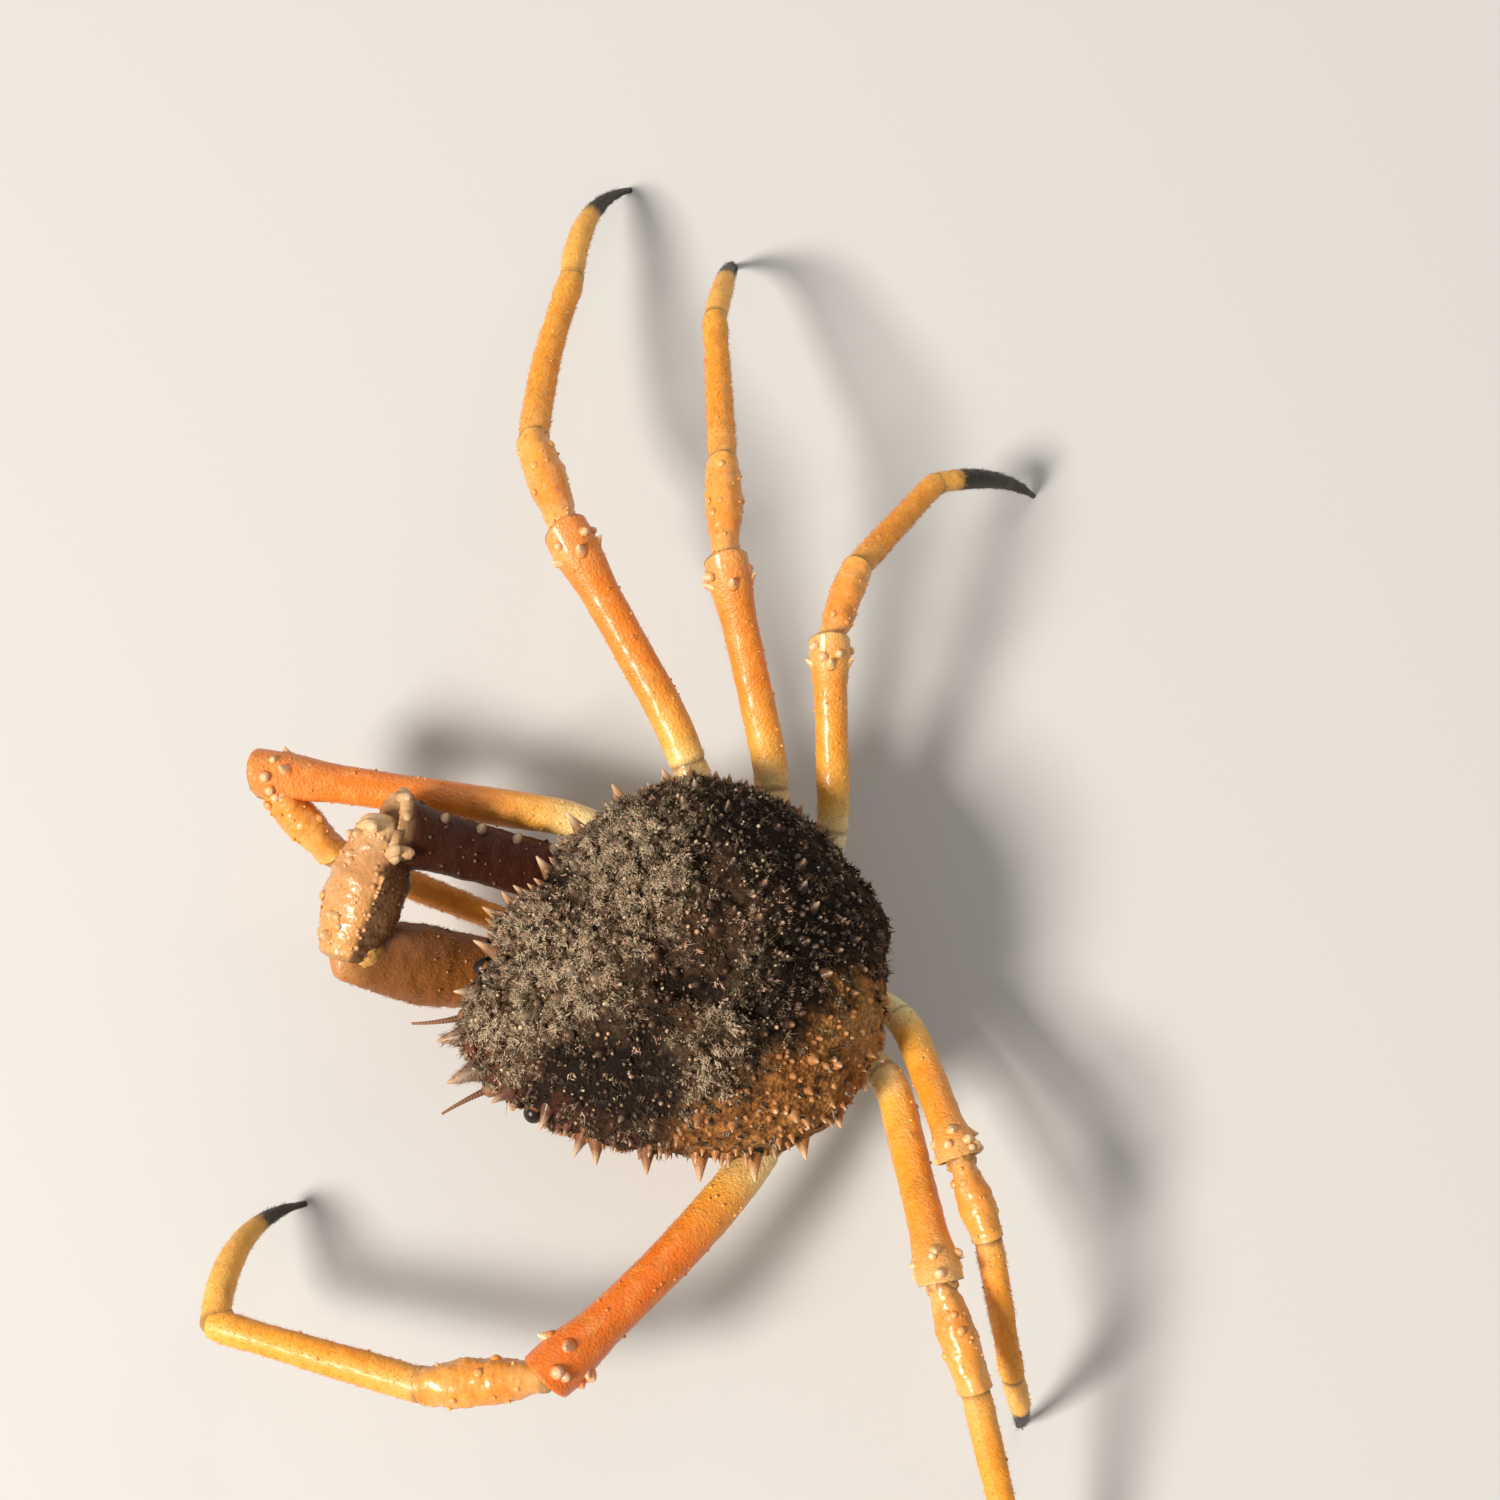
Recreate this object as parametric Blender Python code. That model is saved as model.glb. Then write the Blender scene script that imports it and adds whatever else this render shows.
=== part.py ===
"""European spider crab at life size: spiny shell, two claws, eight walking legs, eyes and feelers.

Units are metres and +Z is up. The head looks along -Y, so the crab's right side is at -X.
Limb pieces are given by length, heading (degrees from +X) and climb (degrees above level).
"""
import math
import random

import bmesh
import bpy
import numpy as np
from mathutils import Vector

GAP = 0.0003
UP = Vector((0.0, 0.0, 1.0))

# Shell, from the brow to the hind rim: distance behind the middle, half width, crown, belly
SHELL_STATIONS = (
    (-0.065, 0.0125, 0.0675, 0.0560),
    (-0.055, 0.0275, 0.0735, 0.0500),
    (-0.041, 0.0405, 0.0830, 0.0435),
    (-0.025, 0.0500, 0.0915, 0.0430),
    (-0.010, 0.0580, 0.0980, 0.0430),
    (0.005, 0.0640, 0.1020, 0.0430),
    (0.020, 0.0662, 0.1040, 0.0430),
    (0.035, 0.0645, 0.1020, 0.0430),
    (0.050, 0.0575, 0.0950, 0.0430),
    (0.062, 0.0460, 0.0850, 0.0430),
    (0.072, 0.0290, 0.0730, 0.0465),
    (0.078, 0.0120, 0.0655, 0.0530),
)
SHELL_EDGE = 0.0585
SHELL_SECTIONS = 22
CROWN_STEPS = 16
# The underside of one section: share of the half width, share of the way from edge to belly
UNDERSIDE = ((0.97, 0.22), (0.86, 0.50), (0.66, 1.0))
# Swellings of the back: sideways, behind the middle, reach and height, mirrored where off centre
SWELLINGS = (
    (0.000, -0.024, 0.017, 0.0035),
    (0.031, 0.016, 0.019, 0.0035),
    (0.000, 0.026, 0.011, 0.0030),
    (0.000, 0.056, 0.009, 0.0030),
    (0.026, -0.036, 0.009, 0.0020),
)
GROOVE_DEPTH = 0.0022

# Spines of the shell: sideways, behind the middle, length and root radius, on both sides
EDGE_SPINES = (
    (-0.037, 0.0095, 0.0030),
    (-0.022, 0.0100, 0.0032),
    (-0.006, 0.0110, 0.0034),
    (0.011, 0.0105, 0.0034),
    (0.028, 0.0080, 0.0030),
    (0.042, 0.0055, 0.0026),
    (0.054, 0.0050, 0.0024),
    (0.065, 0.0045, 0.0022),
)
MIDDLE_SPINES = ((-0.044, 0.0055), (-0.032, 0.0065), (-0.019, 0.0060), (0.000, 0.0045),
                 (0.021, 0.0065), (0.036, 0.0055), (0.055, 0.0065))
HORN_LENGTH = 0.0145
HORN_RADIUS = 0.0052
BROW_SPINE = 0.0095
TUBERCLES = 62
TUBERCLE_SPACING = 0.0082
TUBERCLE_LENGTH = (0.0026, 0.0042)
SPINE_SIDES = 5

# Eyes, feelers and mouth
ORBIT_RADIUS = 0.0056
ORBIT_DEPTH = 0.0105
EYE_LENGTH = 0.0120
EYE_RADIUS = 0.0034
FEELER_LENGTH = 0.016
FEELER_RADIUS = 0.0013
FEELER_TIP = 0.00045
MOUTH_PLATE_LENGTH = 0.026
MOUTH_PLATE_HALF_WIDTH = 0.0064

# Breastplate and tail flap
BREAST_TOP = 0.0427
BREAST_BOTTOM = 0.0338
BREAST_OUTLINE = ((-0.024, 0.016), (-0.014, 0.026), (0.004, 0.033), (0.030, 0.034),
                  (0.050, 0.027), (0.066, 0.014))
COXA_HEIGHT = 0.0350
COXA_DEPTH = 0.014
FLAP_HALF_THICKNESS = 0.0019
FLAP_HALF_WIDTH = 0.0125

# Walking legs: where each leaves the breastplate, then its pieces (length, heading, climb).
# The last piece has no climb: it is turned down until its point stands on the floor.
LEGS = {
    "right_leg_1": ((-0.041, 0.012), (0.026, -168, 10), (0.126, -116, 8), (0.038, 25, -26),
                    (0.072, 52, -18), (0.066, 96)),
    "right_leg_2": ((-0.042, 0.034), (0.033, 168, 16), (0.097, -169, 17), (0.041, 179, -11),
                    (0.082, 152, -19), (0.071, 141)),
    "right_leg_3": ((-0.035, 0.053), (0.024, 153, 17), (0.086, 174, 25), (0.038, 162, -3),
                    (0.073, 163, -21), (0.068, 152)),
    "right_leg_4": ((-0.021, 0.067), (0.018, 144, 22), (0.070, 162, 25), (0.030, 141, -4),
                    (0.060, 126, -28), (0.058, 87)),
    "left_leg_1": ((0.041, 0.012), (0.008, -20, -36), (0.036, -118, -24), (0.015, -125, -6),
                   (0.032, 80, -10), (0.027, 84)),
    "left_leg_2": ((0.042, 0.034), (0.022, -46, 13), (0.115, -60, 14), (0.041, -106, -6),
                   (0.077, -127, -12), (0.072, 136)),
    "left_leg_3": ((0.035, 0.053), (0.019, 50, 22), (0.089, -9, 21), (0.036, -2, -8),
                   (0.070, -5, -26), (0.060, 2)),
    "left_leg_4": ((0.021, 0.067), (0.016, 48, 25), (0.067, -3, 25), (0.028, -1, -4),
                   (0.049, -8, -29), (0.046, 5)),
}
# Sideways bow of the long piece, the shank and the toe, positive to the right of their heading
BOWS = {"left_leg_2": (-0.004, 0.0, -0.008), "right_leg_2": (0.0, -0.002, -0.0055),
        "right_leg_4": (0.0, 0.0, -0.0015)}
# Half thickness of each leg at the thick end of its second piece
LEG_THICKNESS = {
    "right_leg_1": 0.0069, "right_leg_2": 0.0070, "right_leg_3": 0.0065, "right_leg_4": 0.0060,
    "left_leg_1": 0.0035, "left_leg_2": 0.0078, "left_leg_3": 0.0065, "left_leg_4": 0.0060,
}
# Claws: breastplate corner, stub, arm, wrist and palm, then finger length and thickness scale
CLAWS = {
    "right_claw": ((-0.035, -0.008), (0.015, 180, -7), (0.080, -117, 29), (0.045, -38, -15),
                   (0.059, 71, -32), 0.038, 1.0),
    "left_claw": ((0.030, -0.012), (0.011, -62, -18), (0.044, -128, -5), (0.019, 110, -32),
                  (0.040, 97, -8), 0.024, 0.60),
}
ARM_HALF = (0.0120, 0.0105)
WRIST_HALF = (0.0120, 0.0110)
PALM_HALF = (0.0142, 0.0092)

# Shapes of the limb pieces: share of the length, share of the thickness
STUB_AND_ARM = ((0.0, 0.82), (0.10, 0.86), (0.22, 0.92), (0.42, 1.0), (0.66, 1.0), (0.84, 0.98),
                (0.94, 1.22), (1.0, 1.16))
WRIST_SHAPE = ((0.0, 0.74), (0.14, 0.80), (0.38, 1.04), (0.62, 1.12), (0.84, 1.0), (1.0, 0.94))
SHANK_SHAPE = ((0.0, 0.80), (0.12, 0.84), (0.45, 0.80), (0.80, 0.72), (0.94, 0.78), (1.0, 0.70))
CLAW_SHAPE = ((0.0, 0.62), (0.12, 0.64), (0.35, 0.60), (0.60, 0.44), (0.80, 0.29), (0.93, 0.19))
PALM_SHAPE = ((0.0, 0.66), (0.12, 0.78), (0.34, 0.98), (0.60, 1.0), (0.84, 0.92), (1.0, 0.84))
LEG_SIDES = 8
CLAW_SIDES = 10
TOE_RADIUS = 0.0011
TOE_ARCH = 0.085
TOE_OVERRUN = 0.0016

# Colour, roughness and metallic value of each kind of piece
FINISHES = {
    "shell": ((0.135, 0.085, 0.055), 0.75),
    "breast": ((0.62, 0.47, 0.26), 0.50),
    "flap": ((0.64, 0.49, 0.28), 0.50),
    "eye": ((0.02, 0.016, 0.014), 0.20),
    "feeler": ((0.55, 0.30, 0.14), 0.50),
    "mouth": ((0.60, 0.42, 0.22), 0.50),
    "merus": ((0.72, 0.27, 0.05), 0.38),
    "carpus": ((0.66, 0.33, 0.12), 0.38),
    "propodus": ((0.72, 0.38, 0.07), 0.42),
    "dactyl": ((0.16, 0.09, 0.03), 0.40),
    "arm": ((0.30, 0.09, 0.04), 0.38),
    "wrist": ((0.50, 0.24, 0.12), 0.34),
    "hand": ((0.55, 0.20, 0.05), 0.45),
    "finger": ((0.58, 0.26, 0.10), 0.42),
}


def clear_scene():
    for obj in list(bpy.data.objects):
        bpy.data.objects.remove(obj, do_unlink=True)


def add_object(name, mesh_builder):
    """Close a bmesh into a named object in the scene, with all faces outwards."""
    bmesh.ops.recalc_face_normals(mesh_builder, faces=mesh_builder.faces)
    mesh = bpy.data.meshes.new(name)
    mesh_builder.to_mesh(mesh)
    mesh_builder.free()
    obj = bpy.data.objects.new(name, mesh)
    bpy.context.scene.collection.objects.link(obj)
    return obj


def finish(obj, kind):
    """Give a finished piece its own material and smooth shading."""
    colour, roughness = FINISHES[kind]
    material = bpy.data.materials.new(obj.name)
    material.use_nodes = True
    shader = material.node_tree.nodes["Principled BSDF"]
    shader.inputs["Base Color"].default_value = (*colour, 1.0)
    shader.inputs["Roughness"].default_value = roughness
    shader.inputs["Metallic"].default_value = 0.0
    obj.data.materials.clear()
    obj.data.materials.append(material)
    obj.data.shade_smooth()
    obj.data.set_sharp_from_angle(angle=math.radians(42))
    return obj


def heading(azimuth, climb):
    """Unit vector from a heading and a climb in degrees."""
    a = math.radians(azimuth)
    c = math.radians(climb)
    return Vector((math.cos(a) * math.cos(c), math.sin(a) * math.cos(c), math.sin(c)))


def smooth_curve(keys, values, where):
    """Value of a smooth curve through the keys (cubic, with the slope of its neighbours)."""
    keys = np.asarray(keys)
    values = np.asarray(values)
    slopes = np.gradient(values, keys)
    i = int(np.clip(np.searchsorted(keys, where) - 1, 0, len(keys) - 2))
    span = keys[i + 1] - keys[i]
    t = min(max((where - keys[i]) / span, 0.0), 1.0)
    return float((2 * t**3 - 3 * t**2 + 1) * values[i] + (t**3 - 2 * t**2 + t) * span * slopes[i]
                 + (3 * t**2 - 2 * t**3) * values[i + 1] + (t**3 - t**2) * span * slopes[i + 1])


def loft(name, rings):
    """Closed skin over rings that all have the same number of points."""
    builder = bmesh.new()
    loops = [[builder.verts.new(point) for point in ring] for ring in rings]
    count = len(loops[0])
    for lower, upper in zip(loops, loops[1:]):
        for k in range(count):
            following = (k + 1) % count
            builder.faces.new((lower[k], lower[following], upper[following], upper[k]))
    builder.faces.new(list(reversed(loops[0])))
    builder.faces.new(loops[-1])
    return add_object(name, builder)


def tube(name, centres, half_widths, half_depths, sides, upward=UP):
    """Tube of oval rings, each square to the path; half_depths are measured towards upward."""
    last = len(centres) - 1
    rings = []
    for i, centre in enumerate(centres):
        ahead = (centres[min(i + 1, last)] - centres[max(i - 1, 0)]).normalized()
        side = ahead.cross(upward).normalized()
        top = side.cross(ahead)
        angles = [2 * math.pi * (k + 0.5) / sides for k in range(sides)]
        rings.append([centre + side * half_widths[i] * math.cos(a) + top * half_depths[i] * math.sin(a)
                      for a in angles])
    return loft(name, rings)


def trim(obj, point, normal):
    """Cut away what lies past a plane and close the cut with a flat face."""
    builder = bmesh.new()
    builder.from_mesh(obj.data)
    everything = builder.verts[:] + builder.edges[:] + builder.faces[:]
    bmesh.ops.bisect_plane(builder, geom=everything, plane_co=point, plane_no=normal,
                           clear_outer=True)
    open_edges = [edge for edge in builder.edges if edge.is_boundary]
    bmesh.ops.holes_fill(builder, edges=open_edges, sides=0)
    bmesh.ops.recalc_face_normals(builder, faces=builder.faces)
    builder.to_mesh(obj.data)
    builder.free()


def keep_largest_surface(obj):
    """Drop every closed surface of a mesh but the one with the most faces."""
    builder = bmesh.new()
    builder.from_mesh(obj.data)
    unseen = set(builder.faces)
    surfaces = []
    while unseen:
        front = [unseen.pop()]
        surface = set(front)
        while front:
            face = front.pop()
            for edge in face.edges:
                for neighbour in edge.link_faces:
                    if neighbour in unseen:
                        unseen.discard(neighbour)
                        surface.add(neighbour)
                        front.append(neighbour)
        surfaces.append(surface)
    surfaces.sort(key=len)
    scraps = [face for surface in surfaces[:-1] for face in surface]
    bmesh.ops.delete(builder, geom=scraps, context="FACES")
    builder.to_mesh(obj.data)
    builder.free()


def apply_boolean(obj, operation, pieces):
    """Apply one exact Boolean between a piece and a collection of closed pieces, then drop them."""
    group = bpy.data.collections.new(obj.name + "_pieces")
    for piece in pieces:
        group.objects.link(piece)
    modifier = obj.modifiers.new(operation.lower(), "BOOLEAN")
    modifier.operation = operation
    modifier.operand_type = "COLLECTION"
    modifier.collection = group
    modifier.solver = "EXACT"
    evaluated = obj.evaluated_get(bpy.context.evaluated_depsgraph_get())
    result = bpy.data.meshes.new_from_object(evaluated)
    obj.modifiers.clear()
    obj.data = result
    for piece in pieces:
        bpy.data.objects.remove(piece, do_unlink=True)
    bpy.data.collections.remove(group)
    keep_largest_surface(obj)


def spine(root, direction, length, radius):
    """Pointed cone that stands on a surface point, with its root sunk below it."""
    direction = direction.normalized()
    sideways = direction.orthogonal().normalized()
    other = direction.cross(sideways)
    builder = bmesh.new()
    rings = []
    for along, share in ((-0.9 * radius, 1.0), (0.45 * length, 0.62)):
        ring = []
        for k in range(SPINE_SIDES):
            angle = 2 * math.pi * k / SPINE_SIDES
            offset = sideways * math.cos(angle) + other * math.sin(angle)
            ring.append(builder.verts.new(root + direction * along + offset * radius * share))
        rings.append(ring)
    tip = builder.verts.new(root + direction * length)
    for k in range(SPINE_SIDES):
        following = (k + 1) % SPINE_SIDES
        builder.faces.new((rings[0][k], rings[0][following], rings[1][following], rings[1][k]))
        builder.faces.new((rings[1][k], rings[1][following], tip))
    builder.faces.new(list(reversed(rings[0])))
    return add_object("spine", builder)


def shell_profile(back):
    """Half width, crown and belly of the shell at a distance behind its middle."""
    keys = [row[0] for row in SHELL_STATIONS]
    return [smooth_curve(keys, [row[i] for row in SHELL_STATIONS], back) for i in (1, 2, 3)]


def swelling(across, back):
    """Height that the regions of the back add, less the grooves that part them."""
    height = 0.0
    for x, y, reach, lift in SWELLINGS:
        for side in {x, -x}:
            height += lift * math.exp(-((across - side)**2 + (back - y)**2) / (2 * reach**2))
    groove = math.exp(-((back - 0.004 - 6.0 * across**2) / 0.005)**2)
    return height - GROOVE_DEPTH * groove * math.exp(-(across / 0.035)**2)


def crown_point(back, turn):
    """Point of the back: turn runs from 0 at the left edge over the crown to pi at the right."""
    half_width, crown, _ = shell_profile(back)
    across = half_width * math.cos(turn)
    lift = math.sin(turn)**0.86
    height = SHELL_EDGE + (crown - SHELL_EDGE) * lift + swelling(across, back) * lift
    return Vector((across, back, height))


def crown_normal(back, turn):
    """Outward direction of the back at a point."""
    step = 0.02
    along = crown_point(back + 0.001, turn) - crown_point(back - 0.001, turn)
    around = crown_point(back, turn + step) - crown_point(back, turn - step)
    return around.cross(along).normalized() * -1.0


def shell_section(back):
    """One closed ring of the shell, over the back and along the underside."""
    half_width, _, belly = shell_profile(back)
    over = [crown_point(back, math.pi * k / CROWN_STEPS) for k in range(CROWN_STEPS + 1)]
    under = [(share, SHELL_EDGE + (belly - SHELL_EDGE) * drop) for share, drop in UNDERSIDE]
    right = [Vector((-half_width * share, back, height)) for share, height in under]
    left = [Vector((half_width * share, back, height)) for share, height in reversed(under)]
    return over + right + left


def edge_spines():
    """Horns, brow spines and the rows that run down both edges."""
    pieces = []
    for side in (-1, 1):
        horn_root = Vector((side * 0.0060, -0.0630, 0.0615))
        pieces.append(spine(horn_root, Vector((side * 0.10, -1.0, 0.02)), HORN_LENGTH, HORN_RADIUS))
        lid_root = Vector((side * 0.0180, -0.0590, 0.0665))
        pieces.append(spine(lid_root, Vector((side * 0.30, -0.92, 0.20)), 0.0075, 0.0026))
        brow_root = Vector((side * 0.0275, -0.0480, 0.0690))
        pieces.append(spine(brow_root, Vector((side * 0.75, -0.62, -0.05)), BROW_SPINE, 0.0030))
        cheek_root = Vector((side * 0.0385, -0.0400, 0.0600))
        pieces.append(spine(cheek_root, Vector((side * 0.75, -0.66, 0.05)), BROW_SPINE, 0.0030))
        for back, length, radius in EDGE_SPINES:
            half_width, _, _ = shell_profile(back)
            root = Vector((side * (half_width - 0.0010), back, SHELL_EDGE + 0.0015))
            lean = Vector((side * 1.0, -0.35 + 7.0 * max(back, 0.0), 0.22))
            pieces.append(spine(root, lean, length, radius))
        hind_root = Vector((side * 0.0070, 0.0765, 0.0620))
        pieces.append(spine(hind_root, Vector((side * 0.2, 1.0, 0.25)), 0.0050, 0.0022))
    return pieces


def back_spines():
    """The middle row and the tubercles scattered over the back."""
    pieces = []
    taken = []
    for back, length in MIDDLE_SPINES:
        root = crown_point(back, math.pi / 2)
        taken.append(root)
        pieces.append(spine(root, crown_normal(back, math.pi / 2) + Vector((0, -0.15, 0)),
                            length, 0.0023))
    chance = random.Random(11)
    while len(pieces) < TUBERCLES + len(MIDDLE_SPINES):
        back = chance.uniform(-0.050, 0.070)
        turn = math.acos(chance.uniform(-0.93, 0.93))
        root = crown_point(back, turn)
        if min((root - other).length for other in taken) < TUBERCLE_SPACING:
            continue
        taken.append(root)
        length = chance.uniform(*TUBERCLE_LENGTH)
        pieces.append(spine(root, crown_normal(back, turn), length, 0.42 * length + 0.0004))
    return pieces


def orbit_axis(side):
    """Bottom of an eye socket and the way it opens."""
    return Vector((side * 0.0205, -0.0480, 0.0600)), Vector((side * 0.72, -0.68, 0.08)).normalized()


def feeler_axis(side):
    """Root of a feeler and the way it points."""
    return Vector((side * 0.0135, -0.0675, 0.0580)), Vector((side * 0.10, -0.99, 0.05)).normalized()


def build_shell():
    """The back and its sides as one skin, with horns, spines and tubercles grown on it."""
    first = SHELL_STATIONS[0][0]
    last = SHELL_STATIONS[-1][0]
    places = [first + (last - first) * (0.5 - 0.5 * math.cos(math.pi * k / SHELL_SECTIONS))
              for k in range(SHELL_SECTIONS + 1)]
    shell = loft("carapace", [shell_section(back) for back in places])
    pieces = edge_spines() + back_spines()
    for side in (-1, 1):
        root, ahead = feeler_axis(side)
        stem = [root - ahead * 0.012, root - ahead * GAP]
        pieces.append(tube("boss", stem, [0.0036, 0.0024], [0.0036, 0.0024], LEG_SIDES))
    apply_boolean(shell, "UNION", pieces)
    sockets = []
    for side in (-1, 1):
        bottom, opening = orbit_axis(side)
        path = [bottom, bottom + opening * 2 * ORBIT_DEPTH]
        sockets.append(tube("socket", path, [ORBIT_RADIUS] * 2, [ORBIT_RADIUS] * 2, CLAW_SIDES))
    apply_boolean(shell, "DIFFERENCE", sockets)
    finish(shell, "shell")


def build_eye(side, name):
    """Short stalk on the floor of its socket, with a round eye at the end."""
    bottom, opening = orbit_axis(side)
    shape = ((0.0, 0.78), (0.40, 0.72), (0.56, 1.0), (0.74, 1.06), (0.90, 0.78), (1.0, 0.30))
    centres = [bottom + opening * (GAP + EYE_LENGTH * share) for share, _ in shape]
    radii = [EYE_RADIUS * width for _, width in shape]
    finish(tube(name, centres, radii, radii, CLAW_SIDES), "eye")


def build_feeler(side, name):
    """Tapered feeler of short joints, bent a little outwards and up."""
    root, ahead = feeler_axis(side)
    outward = Vector((side * 0.5, 0.0, 0.5))
    shares = [k / 8 for k in range(9)]
    centres = [root + ahead * FEELER_LENGTH * s + outward * 0.003 * s * s for s in shares]
    radii = [FEELER_RADIUS + (FEELER_TIP - FEELER_RADIUS) * s**0.7 for s in shares]
    finish(tube(name, centres, radii, radii, 6), "feeler")


def build_mouth_plate(side, name):
    """Flat outer mouth limb that covers half of the mouth, with its inner joint folded in front."""
    length = MOUTH_PLATE_LENGTH
    half = MOUTH_PLATE_HALF_WIDTH
    shape = ((0.0, 0.72), (0.10, 0.92), (0.50, 0.90), (0.60, 0.84), (0.66, 1.0), (0.90, 1.0), (1.0, 0.74))
    middle = side * (half + 0.0006)
    height = 0.0400
    centres = [Vector((middle, -0.0250 - length * share, height)) for share, _ in shape]
    widths = [half * share for _, share in shape]
    plate = tube(name, centres, widths, [0.0022] * len(shape), CLAW_SIDES)
    palp = [Vector((middle, -0.0250 - 0.90 * length, height - 0.0010)),
            Vector((middle * 0.62, -0.0250 - 1.06 * length, height - 0.0022)),
            Vector((middle * 0.50, -0.0250 - 0.86 * length, height - 0.0040))]
    apply_boolean(plate, "UNION", [tube("palp", palp, [0.0020, 0.0019, 0.0012],
                                        [0.0014, 0.0013, 0.0009], 6)])
    finish(plate, "mouth")


def limb_pieces():
    """First direction of every limb, with the breastplate corner it leaves from."""
    for name, row in list(LEGS.items()) + list(CLAWS.items()):
        yield name, Vector((*row[0], COXA_HEIGHT)), heading(*row[1][1:])


def coxa_radius(name):
    """Thickness of the socket joint that carries a limb."""
    if name in CLAWS:
        return 0.0062 if CLAWS[name][6] < 1.0 else 0.0072
    return min(LEG_THICKNESS[name] * 0.97, 0.0067)


def build_breastplate():
    """Shield under the body with the first joint of each limb grown on its sides."""
    rings = []
    for back, half_width in BREAST_OUTLINE:
        low = BREAST_BOTTOM
        high = BREAST_TOP
        rings.append([Vector((x * half_width, back, z)) for x, z in
                      ((1.0, high), (1.0, 0.4 * low + 0.6 * high), (0.86, low), (0.0, low),
                       (-0.86, low), (-1.0, 0.4 * low + 0.6 * high), (-1.0, high), (0.0, high))])
    plate = loft("sternum", rings)
    joints = []
    for name, root, ahead in limb_pieces():
        radius = coxa_radius(name)
        flat = Vector((ahead.x, ahead.y, 0.0)).normalized()
        path = [root - flat * COXA_DEPTH, root - flat * 0.006, root + flat * 0.003]
        joint = tube("joint", path, [radius * 0.9, radius, radius * 0.96],
                     [radius * 0.9, radius, radius * 0.96], LEG_SIDES)
        trim(joint, root - ahead * GAP, ahead)
        joints.append(joint)
    apply_boolean(plate, "UNION", joints)
    trim(plate, Vector((0, 0, BREAST_TOP)), UP)
    finish(plate, "breast")


def build_tail_flap():
    """Narrow tail, folded forwards under the breastplate from its hind end."""
    hind = BREAST_OUTLINE[-1][0]
    level = BREAST_BOTTOM - GAP - FLAP_HALF_THICKNESS - 0.0002
    path = [Vector((0, hind + GAP, 0.0385)), Vector((0, hind + 0.0030, 0.0383)),
            Vector((0, hind + 0.0052, 0.0360)), Vector((0, hind + 0.0048, level + 0.0008)),
            Vector((0, hind + 0.0010, level)), Vector((0, 0.044, level)), Vector((0, 0.024, level)),
            Vector((0, 0.008, level)), Vector((0, 0.002, level))]
    widths = [FLAP_HALF_WIDTH * share for share in (0.8, 0.9, 0.96, 1.0, 1.0, 0.92, 0.66, 0.46, 0.30)]
    last = len(path) - 1
    rings = []
    for i, centre in enumerate(path):
        ahead = (path[min(i + 1, last)] - path[max(i - 1, 0)]).normalized()
        side = Vector((1, 0, 0))
        top = side.cross(ahead)
        thick = FLAP_HALF_THICKNESS
        corners = ((1.0, 0.0), (0.8, 1.0), (0.0, 1.0), (-0.8, 1.0), (-1.0, 0.0),
                   (-0.8, -0.9), (0.0, -1.0), (0.8, -0.9))
        rings.append([centre + side * widths[i] * x + top * thick * z for x, z in corners])
    flap = loft("abdomen", rings)
    trim(flap, Vector((0, hind + GAP, 0)), Vector((0, -1, 0)))
    finish(flap, "flap")


def bent_path(start, corner, end, shares):
    """Points along a line with one rounded corner, at shares of its whole length."""
    first = (corner - start).length
    whole = first + (end - corner).length
    reach = min(first, 0.35 * (whole - first))
    points = []
    for share in shares:
        run = share * whole
        if run < first - reach:
            points.append(start.lerp(corner, run / first))
        elif run > first + reach:
            points.append(corner.lerp(end, (run - first) / (whole - first)))
        else:
            t = (run - first + reach) / (2 * reach)
            near = start.lerp(corner, 1 - reach / first)
            far = corner.lerp(end, reach / (whole - first))
            points.append(near.lerp(corner, t).lerp(corner.lerp(far, t), t))
    return points


def bowed(centres, bow):
    """The same path, pushed sideways most in its middle and not at all at its ends."""
    side = (centres[-1] - centres[0]).cross(UP).normalized()
    last = len(centres) - 1
    return [centre + side * bow * math.sin(math.pi * i / last) for i, centre in enumerate(centres)]


def limb_piece(name, centres, shape, half_width, half_depth, sides, tapers=1.0, rounded=(True, True)):
    """Tube along its centres with rounded ends that the joint cuts will flatten."""
    widths = [share * half_width * (1 + (tapers - 1) * f) for f, share in shape]
    depths = [share * half_depth * (1 + (tapers - 1) * f) for f, share in shape]
    before = (centres[0] - centres[1]).normalized()
    after = (centres[-1] - centres[-2]).normalized()
    path = list(centres)
    start_size = (widths[0], depths[0])
    end_size = (widths[-1], depths[-1])
    for reach, share in ((0.6, 0.8), (0.95, 0.31)):
        if rounded[0]:
            path.insert(0, centres[0] + before * reach * start_size[0])
            widths.insert(0, start_size[0] * share)
            depths.insert(0, start_size[1] * share)
        if rounded[1]:
            path.append(centres[-1] + after * reach * end_size[0])
            widths.append(end_size[0] * share)
            depths.append(end_size[1] * share)
    return tube(name, path, widths, depths, sides)


def cut_joint(before, after, joint, incoming, outgoing):
    """Part two neighbours by a thin gap on the plane that halves the bend between them."""
    normal = (incoming + outgoing).normalized()
    trim(before, joint - normal * GAP / 2, normal)
    trim(after, joint + normal * GAP / 2, -normal)


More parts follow.
